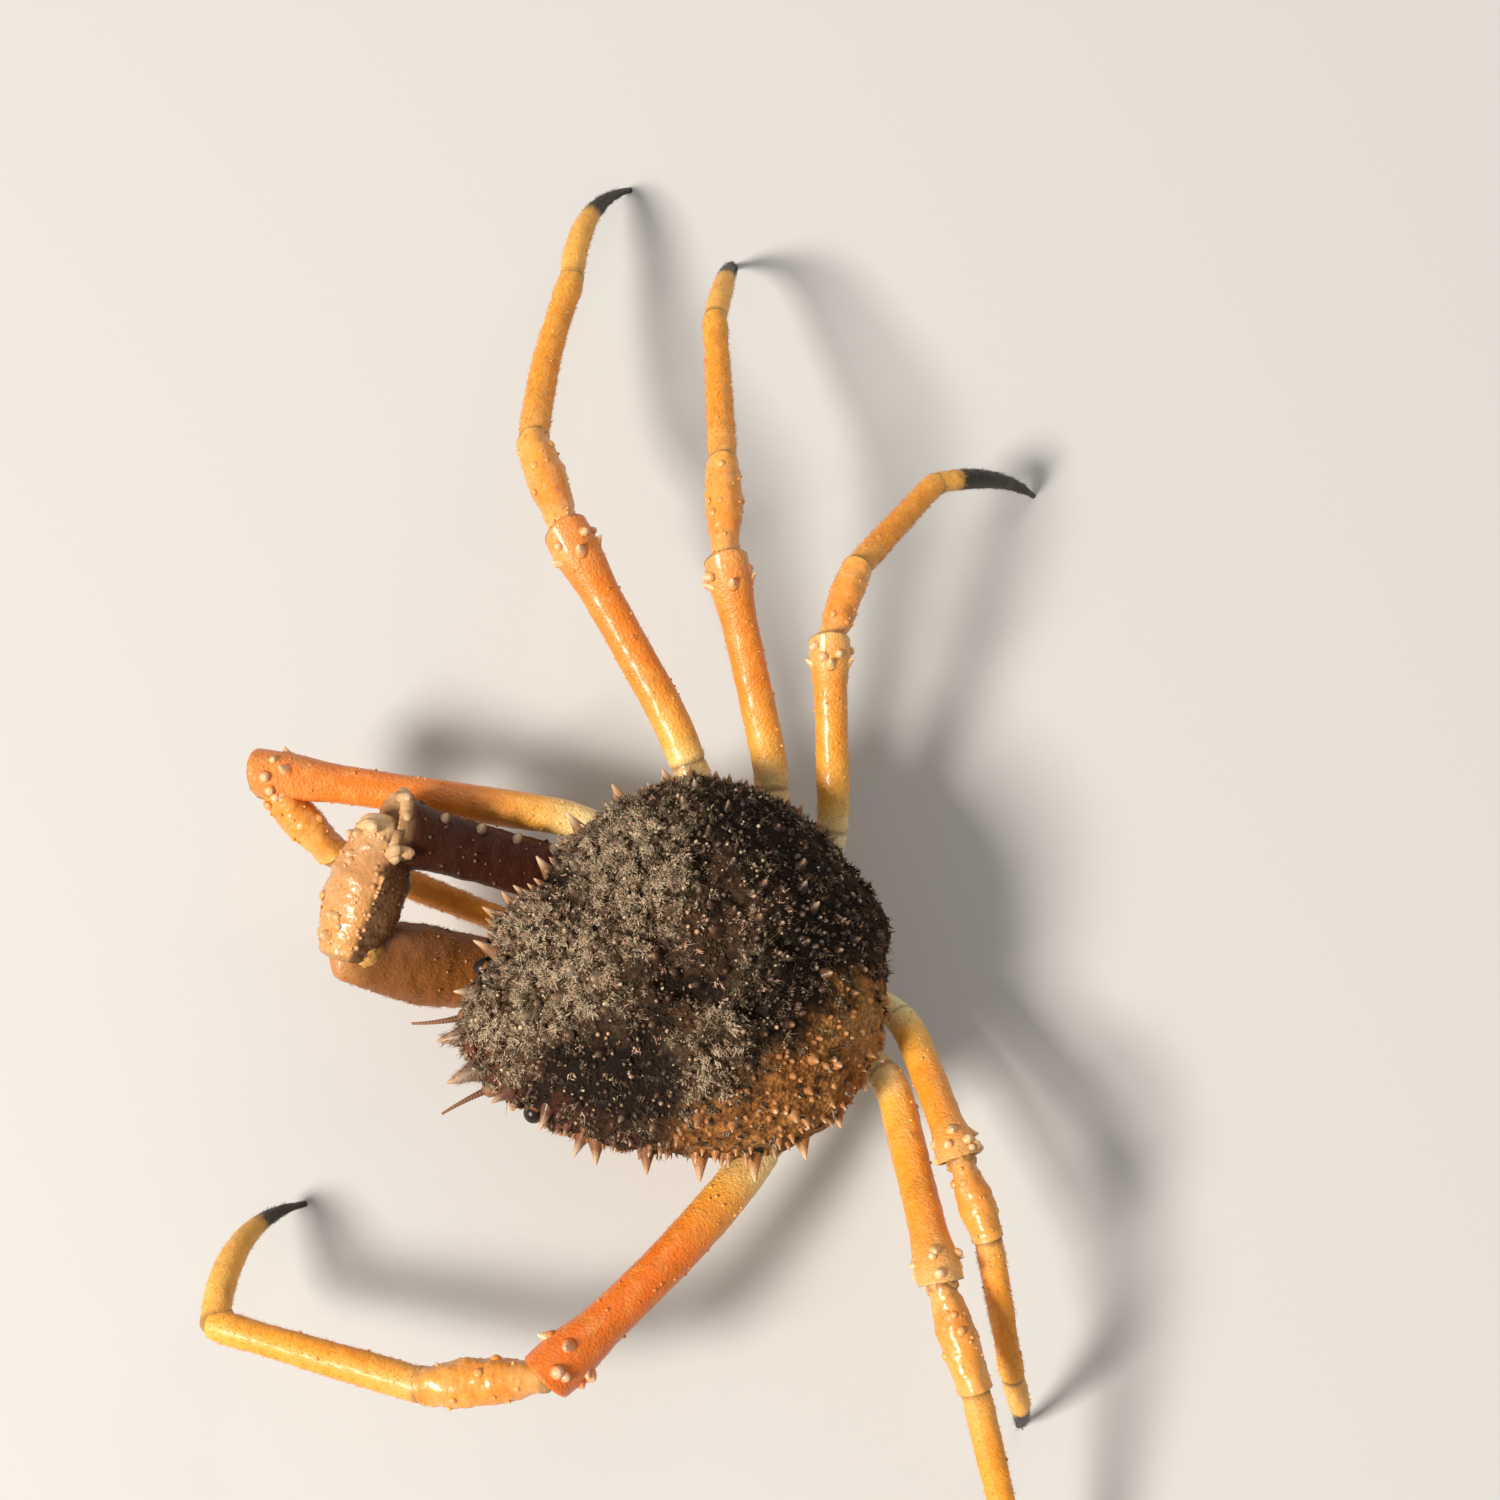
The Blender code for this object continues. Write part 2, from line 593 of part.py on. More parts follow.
def knee_spines(joint, incoming, radius, scale):
    """Three spines round the far end of a leg's long piece, one on top and one each side."""
    side = incoming.cross(UP).normalized()
    top = side.cross(incoming)
    pieces = []
    for across, over, size in ((0.0, 1.0, 1.0), (1.0, 0.25, 0.8), (-1.0, 0.25, 0.8)):
        outward = (side * across + top * over).normalized()
        root = joint - incoming * radius * 1.25 + outward * radius * 1.02
        pieces.append(spine(root, outward + incoming * 0.55, 0.0046 * size * scale,
                            0.0017 * scale))
    return pieces


def build_leg(name):
    """Long upper piece with its stub, knee piece, shank and pointed claw that stands on the floor."""
    corner, stub, upper, knee, shank, toe = LEGS[name]
    thick = LEG_THICKNESS[name]
    start = Vector((*corner, COXA_HEIGHT))
    directions = [heading(*row[1:]) for row in (stub, upper, knee, shank)]
    joints = [start]
    for row, direction in zip((stub, upper, knee, shank), directions):
        joints.append(joints[-1] + direction * row[0])
    toe_length, toe_heading = toe
    toe_climb = -math.degrees(math.asin(joints[-1].z / toe_length))
    directions.append(heading(toe_heading, toe_climb))

    shares = [f for f, _ in STUB_AND_ARM]
    bows = BOWS.get(name, (0.0, 0.0, 0.0))
    path = bowed(bent_path(joints[0], joints[1], joints[2], shares), bows[0])
    merus = limb_piece(name + "_merus", path, STUB_AND_ARM, thick, thick * 0.94, LEG_SIDES,
                       rounded=(False, True))
    apply_boolean(merus, "UNION", knee_spines(joints[2], directions[1], thick, thick / 0.0068))
    pieces = [merus]
    for part, shape, a, bow in (("_carpus", WRIST_SHAPE, 2, 0.0),
                                ("_propodus", SHANK_SHAPE, 3, bows[1])):
        centres = bowed([joints[a].lerp(joints[a + 1], f) for f, _ in shape], bow)
        pieces.append(limb_piece(name + part, centres, shape, thick * 0.92, thick * 0.865, LEG_SIDES))
    pieces.append(build_toe(name + "_dactyl", joints[4], directions[4], toe_length, thick, bows[2]))
    trim(pieces[0], joints[0], -directions[0])
    for i in range(3):
        cut_joint(pieces[i], pieces[i + 1], joints[i + 2], directions[i + 1], directions[i + 2])
    for piece, kind in zip(pieces, ("merus", "carpus", "propodus", "dactyl")):
        finish(piece, kind)


def build_toe(name, joint, direction, length, thick, bow):
    """Pointed end piece, arched over its length and cut level where it meets the floor."""
    side = direction.cross(UP).normalized()
    arch = side.cross(direction) * TOE_ARCH * length + side * bow
    shares = [f for f, _ in CLAW_SHAPE] + [1.0]
    centres = [joint + direction * length * f + arch * 4 * f * (1 - f) for f in shares]
    widths = [thick * share for _, share in CLAW_SHAPE] + [TOE_RADIUS]
    beyond = (centres[-1] - centres[-2]).normalized()
    centres.append(centres[-1] + beyond * TOE_OVERRUN)
    widths.append(TOE_RADIUS)
    back = (centres[0] - centres[1]).normalized()
    for reach, share in ((0.6, 0.8), (0.95, 0.31)):
        centres.insert(0, joint + back * reach * thick * CLAW_SHAPE[0][1])
        widths.insert(0, thick * CLAW_SHAPE[0][1] * share)
    toe = tube(name, centres, widths, widths, LEG_SIDES)
    trim(toe, Vector((0, 0, 0)), -UP)
    return toe


def build_claw(name):
    """Arm, wrist, palm with its fixed finger, and the movable finger beside it."""
    corner, stub, arm_row, wrist_row, palm_row, finger_length, scale = CLAWS[name]
    start = Vector((*corner, COXA_HEIGHT))
    rows = (stub, arm_row, wrist_row, palm_row)
    directions = [heading(*row[1:]) for row in rows]
    joints = [start]
    for row, direction in zip(rows, directions):
        joints.append(joints[-1] + direction * row[0])
    shares = [f for f, _ in STUB_AND_ARM]
    arm = limb_piece(name + "_arm", bent_path(joints[0], joints[1], joints[2], shares), STUB_AND_ARM,
                     ARM_HALF[0] * scale * 0.9, ARM_HALF[1] * scale * 0.9, CLAW_SIDES,
                     rounded=(False, True))
    wrist = limb_piece(name + "_wrist", [joints[2].lerp(joints[3], f) for f, _ in WRIST_SHAPE],
                       WRIST_SHAPE, WRIST_HALF[0] * scale, WRIST_HALF[1] * scale, CLAW_SIDES)
    hand = limb_piece(name + "_hand", [joints[3].lerp(joints[4], f) for f, _ in PALM_SHAPE],
                      PALM_SHAPE, PALM_HALF[0] * scale, PALM_HALF[1] * scale, CLAW_SIDES,
                      rounded=(True, False))
    apply_boolean(arm, "UNION", claw_tubercles(joints[1], joints[2], ARM_HALF, scale, (0.25, 0.95), 5))
    apply_boolean(wrist, "UNION", claw_tubercles(joints[2], joints[3], WRIST_HALF, scale, (0.1, 0.9), 6))
    side = directions[3].cross(UP).normalized()
    inner = side if side.x * (-1 if corner[0] < 0 else 1) < 0 else -side
    fixed, movable = fingers(name, joints[4], directions[3], inner, finger_length, scale)
    apply_boolean(hand, "UNION", [fixed])
    trim(arm, joints[0], -directions[0])
    cut_joint(arm, wrist, joints[2], directions[1], directions[2])
    cut_joint(wrist, hand, joints[3], directions[2], directions[3])
    for piece, kind in ((arm, "arm"), (wrist, "wrist"), (hand, "hand"), (movable, "finger")):
        finish(piece, kind)


def claw_tubercles(start, end, half, scale, span, count):
    """Row of blunt tubercles along the upper inner edge of a claw piece."""
    ahead = (end - start).normalized()
    side = ahead.cross(UP).normalized()
    top = side.cross(ahead)
    outward = (top + side * 0.9).normalized()
    pieces = []
    for k in range(count):
        share = span[0] + (span[1] - span[0]) * k / (count - 1)
        root = start.lerp(end, share) + outward * half[1] * scale * 0.86
        pieces.append(spine(root, outward, 0.0034 * scale, 0.0020 * scale))
    return pieces


def fingers(name, palm_end, ahead, inner, length, scale):
    """Fixed finger rooted in the palm and movable finger that faces its end, tips together."""
    shape = ((0.0, 1.0), (0.25, 0.92), (0.55, 0.70), (0.80, 0.46), (1.0, 0.22))
    made = []
    for sign, reach in ((-1, -0.006), (1, GAP)):
        root = palm_end + inner * sign * PALM_HALF[0] * scale * 0.45 + ahead * reach
        tip = palm_end + inner * sign * 0.0016 * scale + ahead * length
        bow = inner * sign * 0.0035 * scale
        centres = [root.lerp(tip, f) + bow * 4 * f * (1 - f) for f, _ in shape]
        widths = [0.0056 * scale * share for _, share in shape]
        made.append(tube(name + "_finger", centres, widths, widths, LEG_SIDES))
    made[0].name = name + "_fixed_finger"
    made[1].name = name + "_finger"
    trim(made[1], palm_end + ahead * GAP, -ahead)
    return made


def stand_on_origin():
    """Carry every piece on one empty, with the middle of the footprint on the origin."""
    pieces = [obj for obj in bpy.context.scene.objects if obj.type == "MESH"]
    corners = np.array([vertex.co for obj in pieces for vertex in obj.data.vertices])
    low = corners.min(axis=0)
    high = corners.max(axis=0)
    crab = bpy.data.objects.new("crab", None)
    bpy.context.scene.collection.objects.link(crab)
    crab.location = (-(low[0] + high[0]) / 2, -(low[1] + high[1]) / 2, -low[2])
    for piece in pieces:
        piece.parent = crab


def main():
    clear_scene()
    build_shell()
    build_breastplate()
    build_tail_flap()
    for side, word in ((-1, "right"), (1, "left")):
        build_eye(side, word + "_eye")
        build_feeler(side, word + "_antenna")
        build_mouth_plate(side, word + "_maxilliped")
    for name in CLAWS:
        build_claw(name)
    for name in LEGS:
        build_leg(name)
    stand_on_origin()


main()
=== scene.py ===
"""European spider crab at life size: its looks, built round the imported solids.

Units are metres. The head looks along -Y, the crab's right side is at -X and +Z is up.
"""

import math
import random

import bpy
import numpy as np
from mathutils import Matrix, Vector, noise


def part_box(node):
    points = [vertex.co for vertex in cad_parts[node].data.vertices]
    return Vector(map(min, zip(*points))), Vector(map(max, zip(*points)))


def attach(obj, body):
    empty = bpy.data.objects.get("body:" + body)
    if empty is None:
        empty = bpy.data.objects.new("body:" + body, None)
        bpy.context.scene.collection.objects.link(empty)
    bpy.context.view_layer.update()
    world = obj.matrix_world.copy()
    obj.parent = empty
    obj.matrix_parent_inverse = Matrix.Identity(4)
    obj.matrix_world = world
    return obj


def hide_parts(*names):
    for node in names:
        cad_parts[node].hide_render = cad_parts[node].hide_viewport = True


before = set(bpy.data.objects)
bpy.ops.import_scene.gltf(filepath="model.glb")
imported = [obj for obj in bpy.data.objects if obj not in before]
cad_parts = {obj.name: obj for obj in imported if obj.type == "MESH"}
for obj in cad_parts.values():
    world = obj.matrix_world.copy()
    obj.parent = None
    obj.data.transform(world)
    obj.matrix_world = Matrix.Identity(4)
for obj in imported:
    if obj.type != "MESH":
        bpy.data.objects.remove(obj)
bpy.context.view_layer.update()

# The crab's own zero lies on the floor under the middle of its shell. Every place below is
# counted from it, and the horns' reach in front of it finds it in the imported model.
HORN_REACH = 0.0774
shell_low, shell_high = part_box("carapace")
ZERO = np.array([(shell_low.x + shell_high.x) / 2, shell_low.y + HORN_REACH, 0.0])


# Camera: above the crab's left side, as the picture was taken, with the head to the left.
CAMERA_PLACE = (0.2723, -0.0645, 1.1788)
CAMERA_AHEAD = (-0.29093, 0.10417, -0.95106)
LENS_MM = 80.88
SENSOR_MM = 36.0
NEAREST_SEEN = 0.05


def aimed(data, place, ahead):
    """Camera or lamp at a place, looking along a direction."""
    made = bpy.data.objects.new(data.name, data)
    made.location = place
    made.rotation_mode = "QUATERNION"
    made.rotation_quaternion = Vector(ahead).to_track_quat("-Z", "Y")
    bpy.context.scene.collection.objects.link(made)
    return made


camera_data = bpy.data.cameras.new("camera")
camera_data.sensor_width = SENSOR_MM
camera_data.lens = LENS_MM
camera_data.clip_start = NEAREST_SEEN
bpy.context.scene.camera = aimed(camera_data, Vector(CAMERA_PLACE) + Vector(ZERO), CAMERA_AHEAD)


# Floor and light: a plain pale floor, a soft warm lamp high in front of the crab, a weak one
# behind it and an even pale sky.
FLOOR_SIDE = 12.0
FLOOR_COLOUR = (0.58, 0.575, 0.565, 1.0)
LAMPS = (("key", (0.75, -2.95, 3.00), 1.1, 275.0), ("back", (-1.3, 1.2, 1.3), 1.4, 8.0))
LAMP_COLOUR = (1.0, 0.94, 0.86)
SKY_COLOUR = (1.0, 0.98, 0.95, 1.0)
SKY_STRENGTH = 0.34


def new_material(name, **constants):
    """Material with constant values set on its own shader."""
    made = bpy.data.materials.new(name)
    made.use_nodes = True
    shader = made.node_tree.nodes["Principled BSDF"]
    for key, value in constants.items():
        shader.inputs[key.replace("_", " ")].default_value = value
    return made, made.node_tree, shader


floor_mesh = bpy.data.meshes.new("floor")
half = FLOOR_SIDE / 2
floor_mesh.from_pydata([(-half, -half, 0), (half, -half, 0), (half, half, 0), (-half, half, 0)],
                       [], [(0, 1, 2, 3)])
floor = bpy.data.objects.new("floor", floor_mesh)
bpy.context.scene.collection.objects.link(floor)
floor_mesh.materials.append(new_material("floor", Base_Color=FLOOR_COLOUR, Roughness=0.9)[0])
for name, place, size, watts in LAMPS:
    lamp_data = bpy.data.lights.new(name, "AREA")
    lamp_data.size = size
    lamp_data.energy = watts
    lamp_data.color = LAMP_COLOUR
    aimed(lamp_data, place, -Vector(place))
world = bpy.data.worlds.new("sky")
world.use_nodes = True
world.node_tree.nodes["Background"].inputs["Color"].default_value = SKY_COLOUR
world.node_tree.nodes["Background"].inputs["Strength"].default_value = SKY_STRENGTH
bpy.context.scene.world = world
bpy.context.scene.view_settings.view_transform = "Standard"


# Carapace: the hard back of the crab, one plate of chalky shell that arches over the body and
# turns in below. Brown where it is bare, crusted over with weed, and near black where painted
# shade lies over the shell's own dark brown in its furrows, eye sockets and shaded parts.
# Rows along the shell: place behind the middle, half width, height of the crown and of the belly
SHELL_STATIONS = (
    (-0.065, 0.0125, 0.0675, 0.0560),
    (-0.055, 0.0275, 0.0735, 0.0500),
    (-0.041, 0.0405, 0.0830, 0.0435),
    (-0.025, 0.0500, 0.0915, 0.0430),
    (-0.010, 0.0580, 0.0980, 0.0430),
    (0.005, 0.0640, 0.1020, 0.0430),
    (0.020, 0.0662, 0.1040, 0.0430),
    (0.035, 0.0645, 0.1020, 0.0430),
    (0.050, 0.0575, 0.0950, 0.0430),
    (0.062, 0.0460, 0.0850, 0.0430),
    (0.072, 0.0290, 0.0730, 0.0465),
    (0.078, 0.0120, 0.0655, 0.0530),
)
SHELL_EDGE = 0.0585
SHELL_MIDDLE = 0.0065
SHELL_HALF_LENGTH = 0.0715
ARCH_FULLNESS = 0.86
# Swellings of the back: sideways, behind the middle, reach and height
SWELLINGS = ((0.000, -0.024, 0.017, 0.0035), (0.031, 0.016, 0.019, 0.0035),
             (0.000, 0.026, 0.011, 0.0030), (0.000, 0.056, 0.009, 0.0030),
             (0.026, -0.036, 0.009, 0.0020))
GROOVE_DEPTH = 0.0022
GROOVE_PLACE = 0.004
GROOVE_CURVE = 6.0
GROOVE_WIDTH = 0.005
GROOVE_REACH = 0.035
# Section below the edge: shares of the half width and of the way down to the belly
UNDERSIDE = ((1.0, 0.0), (0.97, 0.22), (0.86, 0.50), (0.66, 1.0), (0.0, 1.0))
SHELL_ROWS = 266
CROWN_COLUMNS = 252
UNDER_COLUMNS = 20
ORBIT_PLACE = (0.0205, -0.0480, 0.0600)
ORBIT_WAY = (0.72, -0.68, 0.08)
ORBIT_RADIUS = 0.0056
LIP_SPREAD = 0.0014
LIP_HEIGHT = 0.0009
PATCH_HEIGHT = 0.0013
CRUST_HEIGHT = 0.0022
FURROW_DEPTH = 0.0036
WANDER = 0.0060
UPPER_PART = (0.053, 0.063)
UNDER_PART = (0.0570, 0.0500)
UNDER_WANDER = (0.0012, 190)
# Unevenness of the skin: height, and number of bumps to the metre
RELIEF = ((0.0013, 65), (0.0006, 230), (0.0002, 560))
EDGE_RELIEF = (0.0005, 420)
END_BULGE = 0.0035
END_ANGLES = (86, 68, 50, 32, 14)

# Soft regions of the back: sideways, behind the middle, reach and strength
REGIONS = {
    "weed": ((0.000, -0.056, 0.009, 1.0), (-0.010, -0.046, 0.009, 0.9), (0.008, -0.040, 0.008, 1.0),
             (-0.021, -0.036, 0.009, 0.9), (0.002, -0.030, 0.007, 0.8), (-0.034, -0.036, 0.007, 0.8),
             (-0.006, -0.020, 0.009, 0.7), (0.009, -0.022, 0.006, 0.35),
             (-0.046, -0.008, 0.009, 1.0),
             (-0.028, -0.003, 0.011, 1.0), (-0.040, 0.009, 0.009, 0.9), (-0.030, 0.017, 0.008, 0.8),
             (-0.014, 0.010, 0.007, 0.5), (0.038, -0.001, 0.006, 1.1), (0.041, 0.007, 0.005, 0.9),
             (0.026, 0.017, 0.006, 1.1), (0.035, 0.020, 0.005, 0.9), (0.017, 0.031, 0.0045, 1.0),
             (-0.053, 0.026, 0.009, 0.40), (-0.030, 0.032, 0.004, 0.5), (-0.004, 0.043, 0.006, 0.5),
             (-0.020, -0.058, 0.006, 0.5)),
    # Painted shade: patches painted near black where the back lies in shadow, partly its own dark brown
    "shaded": ((0.022, -0.036, 0.008, 1.0), (0.034, -0.022, 0.010, 1.2), (0.042, -0.011, 0.007, 1.0),
               (0.020, -0.010, 0.007, 0.7), (0.024, -0.049, 0.006, 0.9), (0.034, 0.030, 0.007, 1.1),
               (0.046, 0.018, 0.005, 0.7), (0.022, 0.042, 0.009, 0.9), (0.010, 0.055, 0.012, 0.75),
               (-0.012, 0.058, 0.014, 0.8), (-0.034, 0.050, 0.012, 0.8), (0.000, 0.072, 0.010, 0.35),
               (-0.048, 0.054, 0.009, 0.7), (-0.045, -0.024, 0.006, 1.3), (-0.025, -0.052, 0.006, 0.9),
               (-0.040, 0.038, 0.010, 0.6), (0.012, 0.016, 0.009, 0.5)),
    "furrow": ((0.008, -0.003, 0.0045, 1.3), (0.013, 0.006, 0.0050, 1.4), (0.016, 0.016, 0.0035, 0.9),
               (-0.004, 0.002, 0.0030, 0.5), (0.031, 0.009, 0.0025, 0.7), (0.028, 0.028, 0.0035, 0.8),
               (0.040, 0.026, 0.0035, 0.6), (-0.012, 0.029, 0.0050, 0.8), (-0.024, 0.025, 0.0035, 0.8),
               (0.006, 0.022, 0.0035, 0.7), (0.018, -0.012, 0.0035, 0.6), (0.028, -0.015, 0.0035, 0.7),
               (0.018, -0.032, 0.0035, 0.7), (-0.045, -0.024, 0.0050, 1.0),
               (-0.030, -0.021, 0.0035, 0.7), (-0.018, -0.010, 0.0030, 0.5),
               (-0.026, -0.052, 0.0040, 0.7), (0.010, 0.040, 0.0040, 0.7),
               (-0.013, 0.044, 0.0040, 0.7), (-0.036, 0.030, 0.0040, 0.6), (0.044, 0.012, 0.0030, 0.5)),
    "bare": ((0.058, -0.004, 0.006, 1.0), (0.058, 0.010, 0.007, 1.2), (0.056, 0.026, 0.008, 1.2),
             (0.052, 0.040, 0.007, 1.3), (0.043, 0.053, 0.007, 1.4), (0.035, 0.063, 0.007, 1.4),
             (0.052, 0.052, 0.009, 1.2), (0.032, 0.071, 0.006, 1.2), (0.053, -0.013, 0.004, 0.5)),
    # Gold: the tan rim of the bare part, partly its own colour and partly painted warm light
    "gold": ((0.036, 0.062, 0.006, 1.0), (0.049, 0.058, 0.005, 0.8), (0.060, 0.042, 0.004, 0.6),
             (0.066, 0.012, 0.004, 0.7), (0.066, 0.028, 0.004, 0.8), (0.041, 0.046, 0.003, 0.6)),
    "ruddy": ((0.003, -0.068, 0.010, 1.2), (0.020, -0.060, 0.008, 1.0), (0.033, -0.048, 0.006, 0.8),
              (0.050, -0.028, 0.005, 0.6), (-0.022, -0.064, 0.007, 0.6)),
    "pink": ((-0.001, 0.010, 0.006, 1.0), (-0.004, 0.044, 0.006, 0.8), (-0.034, -0.035, 0.009, 0.8),
             (0.000, -0.018, 0.003, 1.0), (-0.014, -0.012, 0.007, 0.4), (-0.026, 0.002, 0.006, 0.3)),
}


def unit(vectors):
    """Vectors made one long."""
    return vectors / np.maximum(np.linalg.norm(vectors, axis=-1, keepdims=True), 1e-12)


def rough(points, per_metre, octaves=3):
    """Soft random value, about -1 to 1, at each point."""
    return np.array([noise.fractal(Vector(p), 0.9, 2.1, octaves) for p in points * per_metre])


def smoothstep(low, high, value):
    """Soft step from 0 at the first value to 1 at the second."""
    t = np.clip((value - low) / (high - low), 0.0, 1.0)
    return t * t * (3 - 2 * t)


def smooth_curve(keys, values, where):
    """Smooth curve through the keys, read at many places."""
    keys = np.asarray(keys)
    values = np.asarray(values)
    slopes = np.gradient(values, keys)
    i = np.clip(np.searchsorted(keys, where) - 1, 0, len(keys) - 2)
    span = keys[i + 1] - keys[i]
    t = np.clip((where - keys[i]) / span, 0.0, 1.0)
    return ((2 * t**3 - 3 * t**2 + 1) * values[i] + (t**3 - 2 * t**2 + t) * span * slopes[i]
            + (3 * t**2 - 2 * t**3) * values[i + 1] + (t**3 - t**2) * span * slopes[i + 1])


def region(rows, x, y):
    """Strength of a set of soft regions at places on the back."""
    total = np.zeros_like(x)
    for across, back, reach, strength in rows:
        total += strength * np.exp(-((x - across)**2 + (y - back)**2) / (2 * reach**2))
    return np.clip(total, 0, 1)


def surface(points):
    """Relief and regions of the back at places on its plain form."""
    x, y, z = points.T
    shift = WANDER * np.stack([rough(points, 110, 5), rough(points + 3.0, 110, 5)])
    found = {name: region(rows, x + shift[0], y + shift[1]) for name, rows in REGIONS.items()}
    top = smoothstep(*UPPER_PART, z)
    crust = rough(points + 7.0, 250) + 0.6 * rough(points + 2.0, 620, 2)
    found["furrow"] = found["furrow"] * top
    # Furrows are also painted dark as shade
    found["shaded"] = np.maximum(found["shaded"] * (1 - found["bare"]), found["furrow"])
    found["weed"] = found["weed"] * top * (1 - 0.9 * found["shaded"])
    found["crust"] = smoothstep(-0.15, 0.32, crust)
    relief = sum(height * rough(points, per_metre) for height, per_metre in RELIEF)
    relief += found["weed"] * (PATCH_HEIGHT + CRUST_HEIGHT * (found["crust"] - 0.3))
    relief += (1 - top) * EDGE_RELIEF[0] * rough(points, EDGE_RELIEF[1], 2)
    relief -= FURROW_DEPTH * found["furrow"]
    return relief, found


def shell_profile(back):
    """Half width, crown and belly of the shell at places along it."""
    keys = [row[0] for row in SHELL_STATIONS]
    return [smooth_curve(keys, [row[i] for row in SHELL_STATIONS], back) for i in (1, 2, 3)]


def crown_point(back, turn):
    """Points of the back: turn runs from 0 at the left edge over the crown to pi at the right."""
    back, turn = np.broadcast_arrays(np.asarray(back, float), np.asarray(turn, float))
    half_width, crown, _ = shell_profile(back)
    x = half_width * np.cos(turn)
    rise = np.zeros_like(x)
    for across, along, reach, lift in SWELLINGS:
        for side in {across, -across}:
            rise = rise + lift * np.exp(-((x - side)**2 + (back - along)**2) / (2 * reach**2))
    groove = np.exp(-((back - GROOVE_PLACE - GROOVE_CURVE * x**2) / GROOVE_WIDTH)**2)
    groove = groove * np.exp(-(x / GROOVE_REACH)**2)
    arch = np.clip(np.sin(turn), 0, 1)**ARCH_FULLNESS
    z = SHELL_EDGE + (crown - SHELL_EDGE) * arch + (rise - GROOVE_DEPTH * groove) * arch
    return np.stack([x, back, z], -1)


def crown_normal(back, turn):
    """Way out of the back at its places."""
    along = crown_point(back + 0.001, turn) - crown_point(back - 0.001, turn)
    around = crown_point(back, turn + 0.02) - crown_point(back, turn - 0.02)
    return unit(np.cross(along, around))


def on_side(place, side):
    """A place or way on the crab's left, kept for side 1 and mirrored for side -1."""
    return np.array([side * place[0], place[1], place[2]])


def orbit_axis(side):
    """Bottom of an eye socket and the way it opens."""
    return on_side(ORBIT_PLACE, side), unit(on_side(ORBIT_WAY, side))


def grid_faces(count, levels, sides):
    """Faces of many closed tubes, each with its levels of rings."""
    index = np.arange(count * levels * sides).reshape(count, levels, sides)
    after = np.roll(index, -1, axis=2)
    quads = np.stack([index[:, :-1], after[:, :-1], after[:, 1:], index[:, 1:]], -1)
    return [quads.reshape(-1, 4), index[:, 0, ::-1], index[:, -1]]


backs = SHELL_MIDDLE - SHELL_HALF_LENGTH * np.cos(np.pi * np.linspace(0, 1, SHELL_ROWS))
over = crown_point(backs[:, None], np.linspace(0, np.pi, CROWN_COLUMNS)[None])
half_width, _, belly = shell_profile(backs)
step = np.linspace(0, 1, UNDER_COLUMNS + 1)[1:] * (len(UNDERSIDE) - 1)
share = np.interp(step, range(len(UNDERSIDE)), [row[0] for row in UNDERSIDE])
drop = np.interp(step, range(len(UNDERSIDE)), [row[1] for row in UNDERSIDE])
under = np.stack([-half_width[:, None] * share,
                  np.broadcast_to(backs[:, None], (SHELL_ROWS, UNDER_COLUMNS)),
                  SHELL_EDGE + (belly[:, None] - SHELL_EDGE) * drop], -1)
rings = np.concatenate([over, under, (under * [-1, 1, 1])[:, ::-1]], axis=1)
closing = []
for end, way in ((0, -1), (-1, 1)):
    middle = rings[end].mean(axis=0)
    closing.append(np.array([middle + (rings[end] - middle) * math.cos(a)
                             + [0, way * END_BULGE * math.sin(a), 0]
                             for a in np.radians(END_ANGLES)]))
rings = np.concatenate([closing[0], rings, closing[1][::-1]])
levels, columns, _ = rings.shape
lengthwise = np.gradient(rings, axis=0)
crosswise = np.roll(rings, -1, axis=1) - np.roll(rings, 1, axis=1)
skin_normals = unit(np.cross(lengthwise, crosswise)).reshape(-1, 3)
skin_points = rings.reshape(-1, 3)
relief, skin_masks = surface(skin_points)
skin_points = skin_points + skin_normals * relief[:, None]
hollow = np.zeros(len(skin_points))
for side in (-1, 1):
    bottom, opening = orbit_axis(side)
    reach = (skin_points - bottom) @ opening
    off_axis = np.linalg.norm(skin_points - bottom - reach[:, None] * opening, axis=1)
    inside = smoothstep(ORBIT_RADIUS * 1.12, ORBIT_RADIUS * 0.86, off_axis) * (reach > 0)
    lip = np.exp(-((off_axis - ORBIT_RADIUS * 1.35) / LIP_SPREAD)**2) * (reach > 0)
    skin_points = skin_points + opening * (lip * LIP_HEIGHT - inside * reach)[:, None]
    hollow = np.maximum(hollow, inside)
# The eye sockets are painted dark inside as shade
skin_masks["shaded"] = np.maximum(skin_masks["shaded"], hollow)
low_part = skin_points[:, 2] + UNDER_WANDER[0] * rough(skin_points, UNDER_WANDER[1])
skin_masks["under"] = smoothstep(*UNDER_PART, low_part)
shell_faces = [block[:, ::-1] for block in grid_faces(1, levels, columns)]
shell_part = {"points": skin_points + ZERO, "faces": shell_faces, **skin_masks}


def add(tree, kind, inputs=None, **settings):
    """New shader node with its settings, and its inputs linked or filled in."""
    made = tree.nodes.new(kind)
    for key, value in settings.items():
        setattr(made, key, value)
    for key, value in (inputs or {}).items():
        if isinstance(value, bpy.types.NodeSocket):
            tree.links.new(value, made.inputs[key])
        else:
            made.inputs[key].default_value = value
    return made


def new_group(name, inputs, outputs):
    """Empty node group with its sockets, and its two end nodes."""
    tree = bpy.data.node_groups.new(name, "ShaderNodeTree")
    for direction, rows in (("INPUT", inputs), ("OUTPUT", outputs)):
        for label, kind in rows:
            tree.interface.new_socket(label, in_out=direction, socket_type="NodeSocket" + kind)
    return tree, tree.nodes.new("NodeGroupInput"), tree.nodes.new("NodeGroupOutput")


